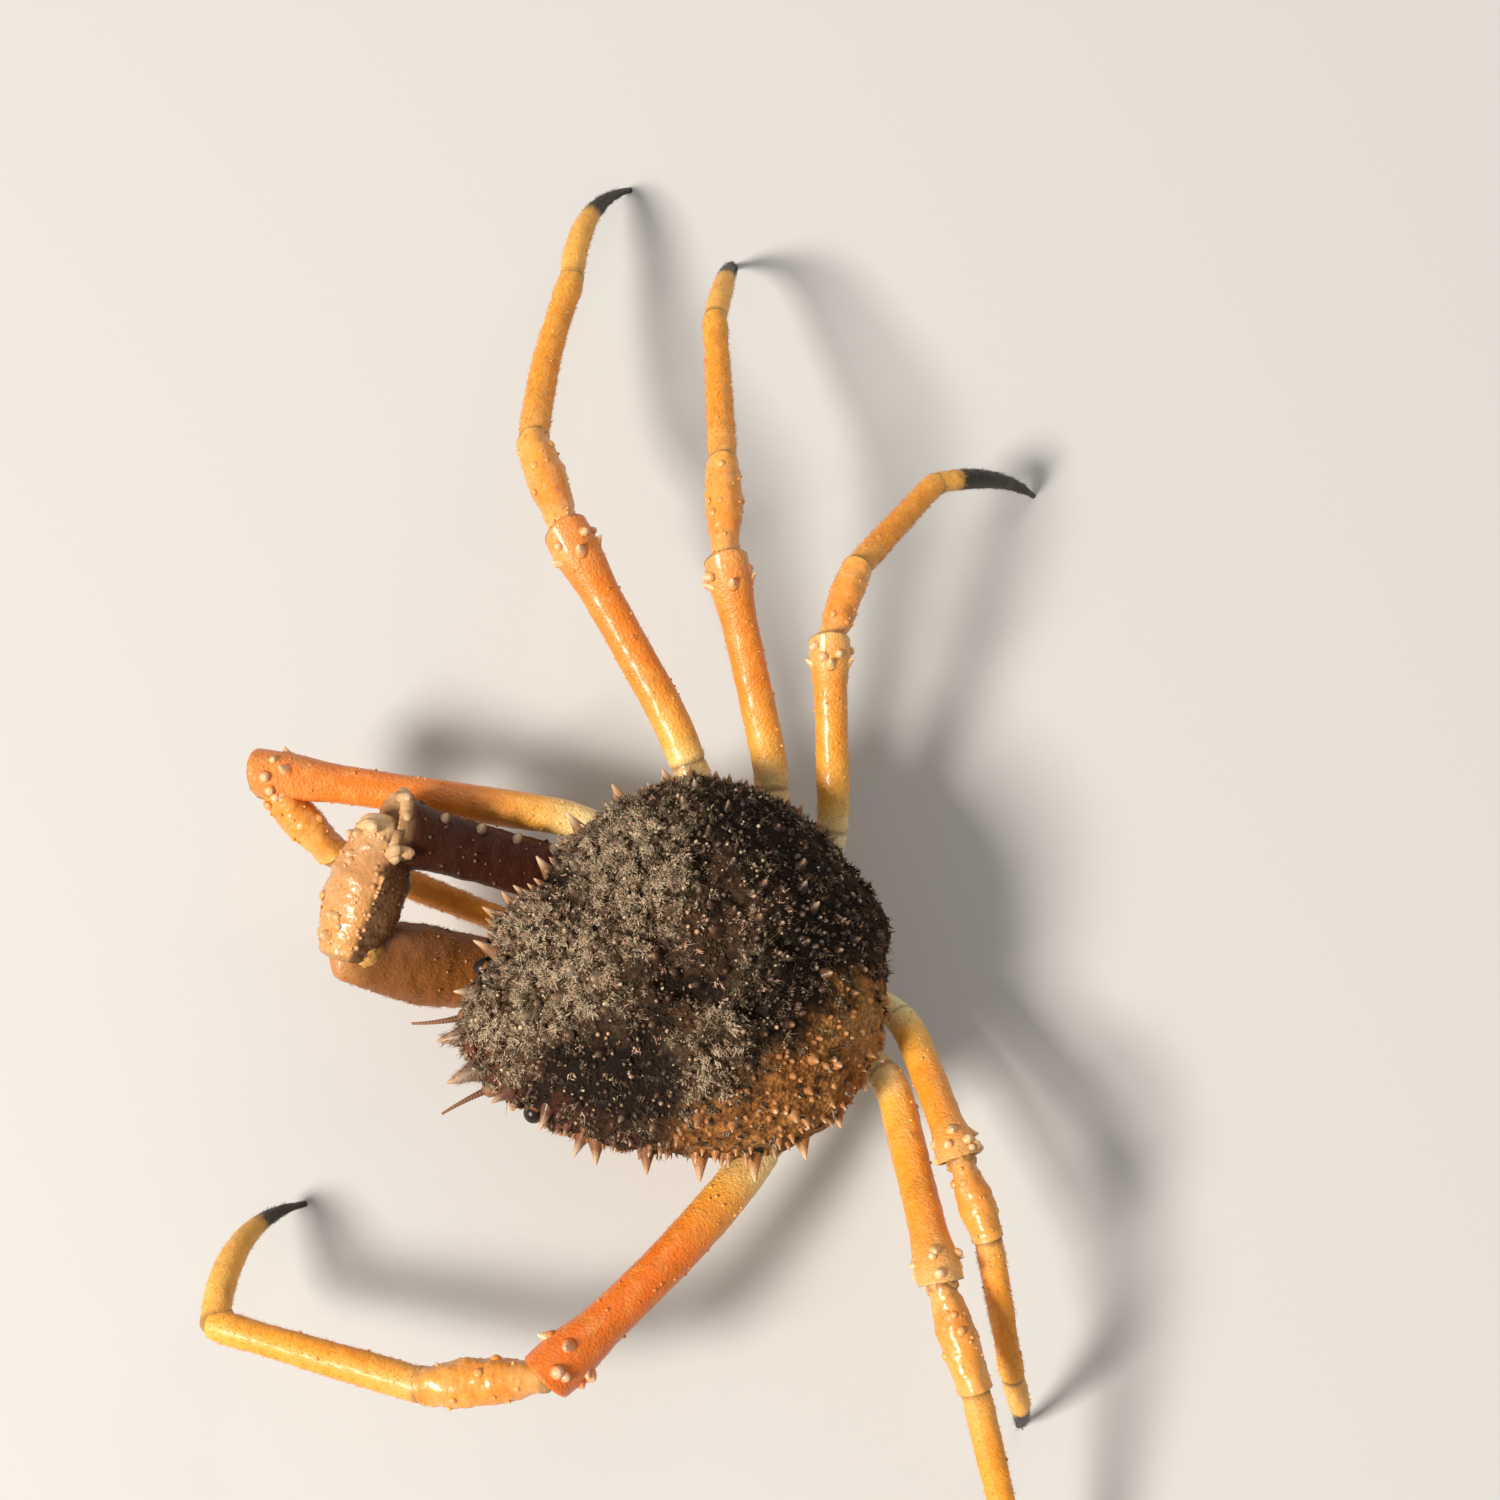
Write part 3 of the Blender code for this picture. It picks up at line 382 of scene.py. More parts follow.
# Patches: soft blotches between 0 and 1, at a number of blotches to the metre.
patches, ends_in, ends_out = new_group(
    "patches", [("Scale", "Float"), ("Low", "Float"), ("High", "Float")], [("Mask", "Float")])
place = add(patches, "ShaderNodeTexCoord")
cloud = add(patches, "ShaderNodeTexNoise", {"Vector": place.outputs["Object"],
                                            "Scale": ends_in.outputs["Scale"],
                                            "Detail": 5.0, "Roughness": 0.6})
spread = add(patches, "ShaderNodeMapRange", {"Value": cloud.outputs["Fac"],
                                             "From Min": ends_in.outputs["Low"],
                                             "From Max": ends_in.outputs["High"]})
patches.links.new(spread.outputs["Result"], ends_out.inputs["Mask"])

# Grain: the fine granules and pits of hard shell, as a bent normal and as a mask of the pits,
# used for painted shade in them.
grain, ends_in, ends_out = new_group(
    "grain", [("Scale", "Float"), ("Height", "Float")], [("Normal", "Vector"), ("Painted_Pit_Shade", "Float")])
place = add(grain, "ShaderNodeTexCoord")
cells = add(grain, "ShaderNodeTexVoronoi", {"Vector": place.outputs["Object"],
                                            "Scale": ends_in.outputs["Scale"]})
cloud = add(grain, "ShaderNodeTexNoise", {"Vector": place.outputs["Object"],
                                          "Scale": ends_in.outputs["Scale"], "Detail": 6.0})
lift = add(grain, "ShaderNodeMath", {0: cloud.outputs["Fac"], 1: cells.outputs["Distance"]},
           operation="SUBTRACT")
bent = add(grain, "ShaderNodeBump", {"Height": lift.outputs[0],
                                     "Distance": ends_in.outputs["Height"], "Strength": 0.8})
pit_shade = add(grain, "ShaderNodeMapRange", {"Value": lift.outputs[0], "From Min": 0.1,
                                        "From Max": -0.45})
grain.links.new(bent.outputs["Normal"], ends_out.inputs["Normal"])
grain.links.new(pit_shade.outputs["Result"], ends_out.inputs["Painted_Pit_Shade"])


def group(tree, which, **inputs):
    """Node that uses one of the shared groups."""
    made = tree.nodes.new("ShaderNodeGroup")
    made.node_tree = which
    for key, value in inputs.items():
        made.inputs[key].default_value = value
    return made


def mask(tree, name):
    """One of the values that the mesh carries at its points."""
    return add(tree, "ShaderNodeAttribute", attribute_name=name).outputs["Fac"]


def mixed(tree, first, second, share):
    """Colour mixed from two colours by a share."""
    first, second = [tone if isinstance(tone, bpy.types.NodeSocket) else (*tone, 1.0)
                     for tone in (first, second)]
    made = add(tree, "ShaderNodeMix", {0: share, 6: first, 7: second}, data_type="RGBA")
    return made.outputs[2]


def ramp(tree, value, stops):
    """Colour read from a row of places and colours."""
    made = add(tree, "ShaderNodeValToRGB", {"Fac": value})
    while len(made.color_ramp.elements) < len(stops):
        made.color_ramp.elements.new(0.5)
    for element, (place_on_ramp, colour) in zip(made.color_ramp.elements, stops):
        element.position = place_on_ramp
        element.color = (*colour, 1.0)
    return made.outputs["Color"]


def scaled(tree, value, factor):
    """A value times another."""
    return add(tree, "ShaderNodeMath", {0: value, 1: factor}, operation="MULTIPLY").outputs[0]


def tinted(tree, tone, colour, name, strength=1.0):
    """Tone mixed towards a colour by a value of the mesh, at most as far as the strength."""
    share = mask(tree, name)
    if strength < 1.0:
        share = scaled(tree, share, strength)
    return mixed(tree, tone, colour, share)


def blotches(tree, scale, low, high):
    """Soft blotches of the patches group."""
    return group(tree, patches, Scale=scale, Low=low, High=high).outputs["Mask"]


def dress(tree, shader, tone, **grain_values):
    """Join a tone to a shader, and the grain with its values where there are any."""
    tree.links.new(tone, shader.inputs["Base Color"])
    if grain_values:
        bent_normal = group(tree, grain, **grain_values).outputs["Normal"]
        tree.links.new(bent_normal, shader.inputs["Normal"])


shell_material, tree, shader = new_material("shell", Roughness=0.80, Specular_IOR_Level=0.12)
tone = mixed(tree, (0.098, 0.048, 0.021), (0.032, 0.018, 0.009), blotches(tree, 240.0, 0.36, 0.64))
tone = tinted(tree, tone, (0.140, 0.036, 0.020), "ruddy", 0.75)
bare_tone = mixed(tree, (0.095, 0.033, 0.010), (0.370, 0.150, 0.036),
                  blotches(tree, 260.0, 0.38, 0.64))
# Partly painted warm light along the rim
bare_tone = tinted(tree, bare_tone, (0.580, 0.300, 0.090), "gold", 0.70)
tone = tinted(tree, tone, bare_tone, "bare")
# Painted shade: near black over the furrows, eye sockets and shaded parts of the back
tone = tinted(tree, tone, (0.007, 0.0045, 0.003), "shaded", 0.92)
weed_tone = ramp(tree, blotches(tree, 560.0, 0.34, 0.68),
                 ((0.0, (0.036, 0.023, 0.013)), (0.35, (0.130, 0.092, 0.052)),
                  (0.65, (0.260, 0.195, 0.120)), (1.0, (0.420, 0.335, 0.225))))
weed_tone = tinted(tree, weed_tone, (0.300, 0.165, 0.105), "pink", 0.6)
tone = mixed(tree, tone, weed_tone, scaled(tree, mask(tree, "weed"), mask(tree, "crust")))
under_tone = mixed(tree, (0.560, 0.370, 0.170), (0.340, 0.120, 0.045),
                   blotches(tree, 170.0, 0.44, 0.66))
tone = tinted(tree, tone, under_tone, "under", 0.9)
relief_node = group(tree, grain, Scale=700.0, Height=0.0008)
# Painted shade in the pits of the grain
tone = mixed(tree, tone, (0.010, 0.005, 0.003), scaled(tree, relief_node.outputs["Painted_Pit_Shade"], 0.55))
dress(tree, shader, tone)
tree.links.new(relief_node.outputs["Normal"], shader.inputs["Normal"])


def new_object(name, parts, material):
    """One smooth object from parts, with their masks as values at its points."""
    faces = []
    start = 0
    for part in parts:
        for block in part["faces"]:
            faces += (np.asarray(block) + start).tolist()
        start += len(part["points"])
    mesh = bpy.data.meshes.new(name)
    mesh.from_pydata(np.concatenate([part["points"] for part in parts]).tolist(), [], faces)
    layout = {"points", "faces", "each", "swing"}
    for key in sorted({key for part in parts for key in part} - layout):
        values = np.concatenate([np.broadcast_to(part.get(key, 0.0), len(part["points"]))
                                 for part in parts]).astype(np.float32)
        mesh.attributes.new(key, "FLOAT", "POINT").data.foreach_set("value", values)
    mesh.materials.append(material)
    mesh.shade_smooth()
    made = bpy.data.objects.new(name, mesh)
    bpy.context.scene.collection.objects.link(made)
    return made


shell_skin = new_object("shell_skin", [shell_part], shell_material)
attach(shell_skin, "root")
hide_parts("carapace")


# Spines of the shell: the two horns, the spines over the eyes and down both edges, the middle
# row and hundreds of tubercles. They grow from the shell, and many end in pinkish white points.
# Spines down both edges, then down the middle: place behind the middle, length and radius
EDGE_SPINES = ((-0.037, 0.0095, 0.0030), (-0.022, 0.0100, 0.0032), (-0.006, 0.0110, 0.0034),
               (0.011, 0.0105, 0.0034), (0.028, 0.0080, 0.0030), (0.042, 0.0055, 0.0026),
               (0.054, 0.0050, 0.0024), (0.065, 0.0045, 0.0022))
MIDDLE_SPINES = ((-0.044, 0.0055), (-0.032, 0.0065), (-0.019, 0.0060), (0.000, 0.0045),
                 (0.021, 0.0065), (0.036, 0.0055), (0.055, 0.0065))
MIDDLE_RADIUS = 0.0023
EDGE_INSET = 0.0010
EDGE_LIFT = 0.0015
HORN_PLACE = (0.0060, -0.0630, 0.0615)
HORN_WAY = (0.10, -1.0, 0.02)
HORN_LENGTH = 0.0145
HORN_RADIUS = 0.0052
# Other spines of head and hind rim: root, way, length, radius and paleness
HEAD_SPINES = (((0.0180, -0.0590, 0.0665), (0.30, -0.92, 0.20), 0.0075, 0.0026, 0.8),
               ((0.0275, -0.0480, 0.0690), (0.75, -0.62, -0.05), 0.0095, 0.0030, 0.8),
               ((0.0385, -0.0400, 0.0600), (0.75, -0.66, 0.05), 0.0095, 0.0030, 0.8),
               ((0.0070, 0.0765, 0.0620), (0.2, 1.0, 0.25), 0.0050, 0.0022, 0.5))
TUBERCLES = 62
TUBERCLE_SPACING = 0.0082
TUBERCLE_LENGTH = (0.0026, 0.0042)
EDGE_THORNS = 46
THORN_LENGTH = (0.0018, 0.0046)
GRANULES = 900
GRANULE_SIZE = (0.0006, 0.0018)
SHORTEST = 0.0012
# Outlines of a spine and of a knob: shares of its length and of its radius
SPINE_OUTLINE = ((-0.25, 1.25), (0.0, 1.08), (0.14, 0.90), (0.32, 0.72), (0.55, 0.50), (0.78, 0.30),
                 (0.93, 0.15), (1.0, 0.03))
KNOB_OUTLINE = ((-0.5, 1.15), (0.0, 1.08), (0.40, 0.90), (0.72, 0.62), (0.92, 0.32), (1.0, 0.05))


def horn_axis(side):
    """Root of a horn and the way it points."""
    return on_side(HORN_PLACE, side), unit(on_side(HORN_WAY, side))


def spikes(roots, ways, lengths, radii, outline, sides, bends=None, flat=1.0):
    """Tapered spines, knobs or hairs, one or many at once, on an outline of rings."""
    ways = unit(np.atleast_2d(np.asarray(ways, float)))
    lengths = np.broadcast_to(lengths, len(ways))
    radii = np.broadcast_to(radii, len(ways))
    spare = np.where(np.abs(ways[:, 2:]) > 0.9, [[1.0, 0.0, 0.0]], [[0.0, 0.0, 1.0]])
    across = unit(np.cross(ways, spare))
    other = np.cross(ways, across)
    turn = 2 * math.pi * np.arange(sides) / sides
    ring = (across[:, None] * flat * np.cos(turn)[None, :, None]
            + other[:, None] * np.sin(turn)[None, :, None])
    along, thick = np.array(outline).T
    centres = (np.atleast_2d(roots)[:, None]
               + ways[:, None] * (lengths[:, None] * along)[:, :, None])
    if bends is not None:
        centres = centres + np.atleast_2d(bends)[:, None] * (np.clip(along, 0, None)**2)[None, :, None]
    points = centres[:, :, None] + ring[:, None] * (radii[:, None] * thick)[:, :, None, None]
    shape = points.shape[:3]
    return {"points": points.reshape(-1, 3), "faces": grid_faces(*shape),
            "tip": np.broadcast_to(np.clip(along, 0, 1)[None, :, None], shape).ravel(),
            "swing": np.broadcast_to(0.5 + 0.5 * np.cos(turn), shape).ravel(),
            "each": np.repeat(np.arange(shape[0]), shape[1] * shape[2])}


def grown(rows, outline, sides, reach_up, lean=0.0):
    """Spines on the uneven skin, from rows of root, way, length, radius and paleness."""
    roots = np.array([row[0] for row in rows])
    ways = unit(np.array([row[1] for row in rows]))
    lengths, radii, pale = np.array([row[2:] for row in rows]).T
    lifted, found = surface(roots)
    if reach_up:
        lengths = np.maximum(lengths - lifted, SHORTEST)
    bends = np.array([[0.0, -1.0, 0.25]]) * lengths[:, None] * lean
    part = spikes(roots + ways * lifted[:, None] + ZERO, ways, lengths, radii, outline, sides, bends)
    for name in ("weed", "bare", "shaded", "gold", "ruddy"):
        part[name] = found[name][part["each"]]
    part["pale"] = pale[part["each"]]
    return part


rows = []
for side in (-1, 1):
    rows.append((*horn_axis(side), HORN_LENGTH, HORN_RADIUS, 0.6))
    for root, way, *sizes in HEAD_SPINES:
        rows.append((on_side(root, side), on_side(way, side), *sizes))
    for back, length, radius in EDGE_SPINES:
        width = float(shell_profile(np.array(back))[0])
        rows.append(((side * (width - EDGE_INSET), back, SHELL_EDGE + EDGE_LIFT),
                     (side, -0.35 + 7.0 * max(back, 0.0), 0.22), length, radius, 0.8))
main_spines = grown(rows, SPINE_OUTLINE, 14, False)

chance = random.Random(5)
rows = []
for side in (-1, 1):
    for k in range(EDGE_THORNS):
        back = -0.052 + 0.124 * (k + chance.uniform(0.1, 0.9)) / EDGE_THORNS
        turn = chance.uniform(0.02, 0.34)
        angle = turn if side > 0 else math.pi - turn
        way = crown_normal(back, angle) + [side * 0.4, -0.30 + 6.0 * max(back, 0.0), 0.0]
        size = chance.uniform(*THORN_LENGTH) * (1.35 if side < 0 and back < 0 else 1.0)
        rows.append((crown_point(back, angle), way, size, 0.26 * size + 0.0005,
                     chance.uniform(0.2, 1.0)))
edge_thorns = grown(rows, SPINE_OUTLINE, 9, False)

rows = []
taken = []
for back, length in MIDDLE_SPINES:
    root = crown_point(back, math.pi / 2)
    taken.append(root)
    rows.append((root, crown_normal(back, math.pi / 2) + [0, -0.15, 0], length, MIDDLE_RADIUS, 0.5))
chance = random.Random(11)
while len(rows) < TUBERCLES + len(MIDDLE_SPINES):
    back = chance.uniform(-0.050, 0.070)
    turn = math.acos(chance.uniform(-0.93, 0.93))
    root = crown_point(back, turn)
    if min(np.linalg.norm(root - other) for other in taken) < TUBERCLE_SPACING:
        continue
    taken.append(root)
    length = chance.uniform(*TUBERCLE_LENGTH)
    rows.append((root, crown_normal(back, turn), length, 0.42 * length + 0.0004,
                 0.25 + 150 * (length - TUBERCLE_LENGTH[0])))
back_spines = grown(rows, SPINE_OUTLINE, 12, True, 0.12)
# Edge and main spines keep only a little of the painted shade
for part in (main_spines, edge_thorns):
    part["shaded"] = part["shaded"] * 0.3
    part["bare"] = np.maximum(part["bare"], 0.6 - 0.5 * part["ruddy"])

rng = np.random.default_rng(23)
rows = []
for _ in range(GRANULES):
    back = rng.uniform(-0.060, 0.074)
    turn = math.acos(rng.uniform(-0.985, 0.985))
    size = rng.uniform(*GRANULE_SIZE)
    rows.append((crown_point(back, turn), crown_normal(back, turn) + rng.normal(0, 0.2, 3), size,
                 size * rng.uniform(0.35, 0.6) + 0.0003,
                 rng.uniform(0.4, 1.0) if rng.random() < 0.22 else rng.uniform(0.0, 0.2)))
granules = grown(rows, KNOB_OUTLINE, 6, False)

spine_material, tree, shader = new_material("spines", Roughness=0.45, Specular_IOR_Level=0.35,
                                            Coat_Weight=0.15, Coat_Roughness=0.15)
root_tone = tinted(tree, (0.090, 0.036, 0.018), (0.390, 0.155, 0.042), "bare")
# Gold is partly painted warm light; the near-black tint is painted shade on roots in shaded parts
for colour, name, strength in (((0.480, 0.220, 0.060), "gold", 0.7),
                               ((0.130, 0.032, 0.018), "ruddy", 0.8),
                               ((0.160, 0.120, 0.075), "weed", 0.7),
                               ((0.014, 0.007, 0.005), "shaded", 0.8)):
    root_tone = tinted(tree, root_tone, colour, name, strength)
tip_tone = mixed(tree, (0.680, 0.390, 0.190), (0.820, 0.610, 0.400), blotches(tree, 90.0, 0.4, 0.6))
fade = add(tree, "ShaderNodeMapRange", {"Value": mask(tree, "tip"), "From Min": 0.42,
                                        "From Max": 0.95})
pale_share = scaled(tree, fade.outputs["Result"], mask(tree, "pale"))
dress(tree, shader, mixed(tree, root_tone, tip_tone, pale_share), Scale=1500.0, Height=0.0002)
shell_spines = new_object("shell_spines", [main_spines, edge_thorns, back_spines, granules],
                          spine_material)
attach(shell_spines, "root")


# Weed on the shell: matted tufts of alga and hydroid with grit caught in them, short blunt lobes
# between fine threads. They hold on to the hooked bristles of the shell, mostly on its front half.
TUFTS = 4700
TUFT_SPREAD = 0.0006
LOBES = 6
LOBE_LENGTHS = (0.0006, 0.0016)
LOBE_RADII = (0.00015, 0.00029)
LOBE_FLATNESS = 1.5
LOBE_OUTLINE = ((-0.2, 0.6), (0.55, 1.0), (1.0, 0.30))
THREADS = 3
THREAD_LENGTHS = (0.0009, 0.0024)
THREAD_RADII = (0.00008, 0.00015)
HAIR_OUTLINE = ((-0.15, 1.0), (0.5, 0.8), (1.0, 0.12))
GRIT = 1700
GRIT_SIZES = (0.0004, 0.0010)
WEED_PIECES = 5
PINK_TUFTS = 0.025
TUFT_PATCH = 0.003
MAP_HALF = 0.085
UP = np.array([0.0, 0.0, 1.0])
clump = smoothstep(-0.25, 0.35, rough(skin_points, 420, 2))
weight = skin_masks["weed"] * (0.04 + skin_masks["crust"]**2) * (1 - 0.9 * skin_masks["shaded"])
weight = weight + 0.09 * smoothstep(0.056, 0.064, skin_points[:, 2]) * (
    1 - 0.85 * skin_masks["bare"])
cell_size = np.linalg.norm(lengthwise, axis=2).ravel() * np.linalg.norm(crosswise, axis=2).ravel()
weight = weight * cell_size * (0.25 + clump) * (hollow < 0.2)
weight = weight / weight.sum()
rng = np.random.default_rng(31)
tufts = rng.choice(len(skin_points), TUFTS, p=weight)
tufts = tufts[np.argsort(skin_points[tufts][:, 0])]
lies = unit(rng.normal(0, 1.0, (TUFTS, 3)) + [0.25, 0.1, 0.0])
tuft_tone = 0.26 + 0.28 * rough(skin_points[tufts], 170) + 0.11 * rng.normal(0, 1, TUFTS)
tuft_tone += skin_masks["weed"][tufts] * (0.28 + 0.16 * skin_masks["crust"][tufts])
# Tufts in the shaded parts of the back are painted darker as shade
tuft_tone += 0.48 * (clump[tufts] - 0.55) - 0.20 * skin_masks["shaded"][tufts]
tuft_tone = np.clip(tuft_tone, 0.04, 0.85)
pinkish = rng.random(TUFTS) < PINK_TUFTS + 0.35 * skin_masks["pink"][tufts]
tuft_tone = np.where(pinkish, 1.0, tuft_tone)


def tuft_strands(chosen, per_tuft, lengths, radii, outline, curl, flat=1.0):
    """Strands round the roots of the chosen tufts."""
    own = np.repeat(chosen, per_tuft)
    root = tufts[own]
    count = len(own)
    offset = np.cross(skin_normals[root], rng.normal(0, TUFT_SPREAD, (count, 3)))
    way = skin_normals[root] * 0.8 + lies[own] * 0.6 + rng.normal(0, 0.4, (count, 3))
    length = rng.uniform(*lengths, count)
    bend = (lies[own] * 0.5 + rng.normal(0, 0.5, (count, 3)) - UP * 0.3) * length[:, None] * curl
    part = spikes(skin_points[root] + offset + ZERO, way, length, rng.uniform(*radii, count),
                  outline, 3, bend, flat)
    part["tone"] = np.clip(tuft_tone[own] + rng.normal(0, 0.05, count), 0, 1)[part["each"]]
    return part, top_map(skin_points[root])


def top_map(points):
    """Places on the flat unwrap of the back, between 0 and 1."""
    return (points[:, :2] + MAP_HALF) / (2 * MAP_HALF)


def new_coat(name, parts, root_maps, material):
    """Object of tufts or hairs, each with its own small patch of the OFBake map at its root's
    place on the unwrap of the skin."""
    made = new_object(name, parts, material)
    where = np.concatenate([
        root_map[part["each"]] + TUFT_PATCH * np.stack([part["swing"], part["tip"]], -1)
        for part, root_map in zip(parts, root_maps)])
    corners = np.zeros(len(made.data.loops), int)
    made.data.loops.foreach_get("vertex_index", corners)
    layer = made.data.uv_layers.new(name="OFBake")
    layer.data.foreach_set("uv", where[corners].astype(np.float32).ravel())
    return made


weed_material, tree, shader = new_material("weed", Roughness=0.85, Specular_IOR_Level=0.3)
tone = ramp(tree, mask(tree, "tone"),
            ((0.0, (0.022, 0.013, 0.007)), (0.25, (0.090, 0.056, 0.030)),
             (0.5, (0.210, 0.148, 0.086)), (0.75, (0.410, 0.312, 0.200)),
             (0.92, (0.570, 0.450, 0.310)), (1.0, (0.480, 0.270, 0.180))))
dress(tree, shader, tone)
for number, chosen in enumerate(np.array_split(np.arange(TUFTS), WEED_PIECES)):
    made = [tuft_strands(chosen, LOBES, LOBE_LENGTHS, LOBE_RADII, LOBE_OUTLINE, 0.7, LOBE_FLATNESS),
            tuft_strands(chosen, THREADS, THREAD_LENGTHS, THREAD_RADII, HAIR_OUTLINE, 1.0)]
    root = rng.choice(tufts[chosen], GRIT // WEED_PIECES)
    size = rng.uniform(*GRIT_SIZES, len(root))
    stones = spikes(skin_points[root] + rng.normal(0, TUFT_SPREAD, (len(root), 3)) + ZERO,
                    skin_normals[root] + rng.normal(0, 0.6, (len(root), 3)), size,
                    size * rng.uniform(0.4, 0.8, len(root)), KNOB_OUTLINE, 5)
    stones["tone"] = np.clip(rng.normal(0.70, 0.25, len(root)), 0, 1)[stones["each"]]
    made.append((stones, top_map(skin_points[root])))
    parts, root_maps = zip(*made)
    weed_piece = new_coat(f"shell_weed_{number + 1}", parts, root_maps, weed_material)
    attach(weed_piece, "root")


# Walking legs: four hard pieces each, wet orange shell that is cream near the body, with soft
# skin in the joints between them. The long upper piece flares at the knee with white spines,
# shank and toe are downy, and the toe ends in horn.
LIMB_RINGS = 110
LIMB_SIDES = 40
CORNER_RINGS = 5
# Outlines of the pieces: place along them and share of the limb's thickness
MERUS_SHAPE = ((0.0, 0.82), (0.10, 0.86), (0.22, 0.92), (0.42, 0.97), (0.66, 0.95), (0.82, 0.98),
               (0.94, 1.24), (1.0, 1.20))
CARPUS_SHAPE = ((0.0, 0.74), (0.14, 0.80), (0.38, 1.04), (0.62, 1.12), (0.84, 1.0), (1.0, 0.94))
SHANK_SHAPE = ((0.0, 0.80), (0.12, 0.84), (0.45, 0.80), (0.80, 0.72), (0.94, 0.78), (1.0, 0.70))
TOE_SHAPE = ((0.0, 0.62), (0.12, 0.64), (0.35, 0.60), (0.60, 0.44), (0.80, 0.29), (0.93, 0.19))
SHARES = np.linspace(0, 1, LIMB_RINGS)
ARCH = (4 * SHARES * (1 - SHARES))[:, None]
CAP_ANGLES = (84, 66, 48, 30, 12)
HAIR_RADIUS = 0.00007
COXA_HEIGHT = 0.0350
TOE_ARCH = 0.085
TOE_RADIUS = 0.0011
CUP_SPINE = (0.0046, 0.0022)
FULL_THICKNESS = 0.0068
LEG_RIPPLE = 0.00018
CREASE_DEPTH = 0.0006
KNEE_LUMP = 0.0008
KNEE_RIDGE = 0.0006
KNOB_SLIDE = 0.0006
# Balls of soft skin in the joints: shares of the limb's thickness
JOINT_BALL_LENGTH = 1.4
JOINT_BALL_RADII = (0.86, 0.74, 0.58)
MAP_CELL = 0.235
PALE_KNOB = (0.84, 0.65, 0.42)
BEND_SHARE = 0.35
FLATNESS = 0.94
THINNER = 0.92
# Rows: corner of the breastplate, then length, heading and climb of stub, upper piece, knee piece
# and shank, then length and heading of the toe
LEGS = {
    "right_leg_1": ((-0.041, 0.012), (0.026, -168, 10), (0.126, -116, 8), (0.038, 25, -26),
                    (0.072, 52, -18), (0.066, 96)),
    "right_leg_2": ((-0.042, 0.034), (0.033, 168, 16), (0.097, -169, 17), (0.041, 179, -11),
                    (0.082, 152, -19), (0.071, 141)),
    "right_leg_3": ((-0.035, 0.053), (0.024, 153, 17), (0.086, 174, 25), (0.038, 162, -3),
                    (0.073, 163, -21), (0.068, 152)),
    "right_leg_4": ((-0.021, 0.067), (0.018, 144, 22), (0.070, 162, 25), (0.030, 141, -4),
                    (0.060, 126, -28), (0.058, 87)),
    "left_leg_1": ((0.041, 0.012), (0.008, -20, -36), (0.036, -118, -24), (0.015, -125, -6),
                   (0.032, 80, -10), (0.027, 84)),
    "left_leg_2": ((0.042, 0.034), (0.022, -46, 13), (0.115, -60, 14), (0.041, -106, -6),
                   (0.077, -127, -12), (0.072, 136)),
    "left_leg_3": ((0.035, 0.053), (0.019, 50, 22), (0.089, -9, 21), (0.036, -2, -8),
                   (0.070, -5, -26), (0.060, 2)),
    "left_leg_4": ((0.021, 0.067), (0.016, 48, 25), (0.067, -3, 25), (0.028, -1, -4),
                   (0.049, -8, -29), (0.046, 5)),
}
# Looks: thickness, redness of the upper piece, amount of down, where the toe turns to horn, and how
# far upper piece, shank and toe bow sideways
LEG_LOOKS = {
    "right_leg_1": (0.0069, 0.70, 1.0, 0.50, (0.0, 0.0, 0.0)),
    "right_leg_2": (0.0070, 0.60, 1.0, 0.46, (0.0, -0.002, -0.0055)),
    "right_leg_3": (0.0065, 0.50, 1.0, 0.42, (0.0, 0.0, 0.0)),
    "right_leg_4": (0.0060, 0.15, 1.0, 0.12, (0.0, 0.0, -0.0015)),
    "left_leg_1": (0.0035, 0.45, 0.3, 0.50, (0.0, 0.0, 0.0)),
    "left_leg_2": (0.0078, 0.95, 0.7, 0.60, (-0.004, 0.0, -0.008)),
    "left_leg_3": (0.0065, 0.14, 0.35, 0.45, (0.0, 0.0, 0.0)),
    "left_leg_4": (0.0060, 0.18, 0.45, 0.38, (0.0, 0.0, 0.0)),
}
# Pieces: slot, form of the far end, overhang, hairs with their lengths and stretch, and rows of
# knobs with their number, sizes, stretch, paleness, lowest side and slimness
LEG_PIECES = {
    "merus": ("upper_leg", -0.5, 0.55, (300, (0.0006, 0.0013), (0.25, 0.97)),
              ((46, (0.0003, 0.0007), (0.2, 0.95), 0.15),
               (9, (0.0014, 0.0026), (0.925, 0.975), 0.7, -2.0, 0.8))),
    "carpus": ("knee", -0.3, 0.30, (260, (0.0006, 0.0012), (0.05, 0.97)),
               ((4, (0.0005, 0.0012), (0.2, 0.95), 0.2, 0.25, 1.3),
                (12, (0.0003, 0.0008), (0.1, 0.97), 0.25, -0.2))),
    "propodus": ("shank", -0.3, 0.30, (1600, (0.0006, 0.0013), (0.02, 0.98)),
                 ((16, (0.0003, 0.0006), (0.05, 0.97), 0.3),)),
    "dactyl": ("toe", 0.2, 0.0, (950, (0.0006, 0.0011), (0.02, 0.86)), ()),
}


def heading(azimuth, climb):
    """Unit vector from a heading and a climb in degrees."""
    a = math.radians(azimuth)
    c = math.radians(climb)
    return np.array([math.cos(a) * math.cos(c), math.sin(a) * math.cos(c), math.sin(c)])


def limb_joints(corner, rows):
    """Ways and joint places of a limb, from its corner and its rows of length, heading, climb."""
    ways = [heading(*row[1:]) for row in rows]
    joints = [np.array([*corner, COXA_HEIGHT]) + ZERO]
    for row, way in zip(rows, ways):
        joints.append(joints[-1] + way * row[0])
    return ways, joints


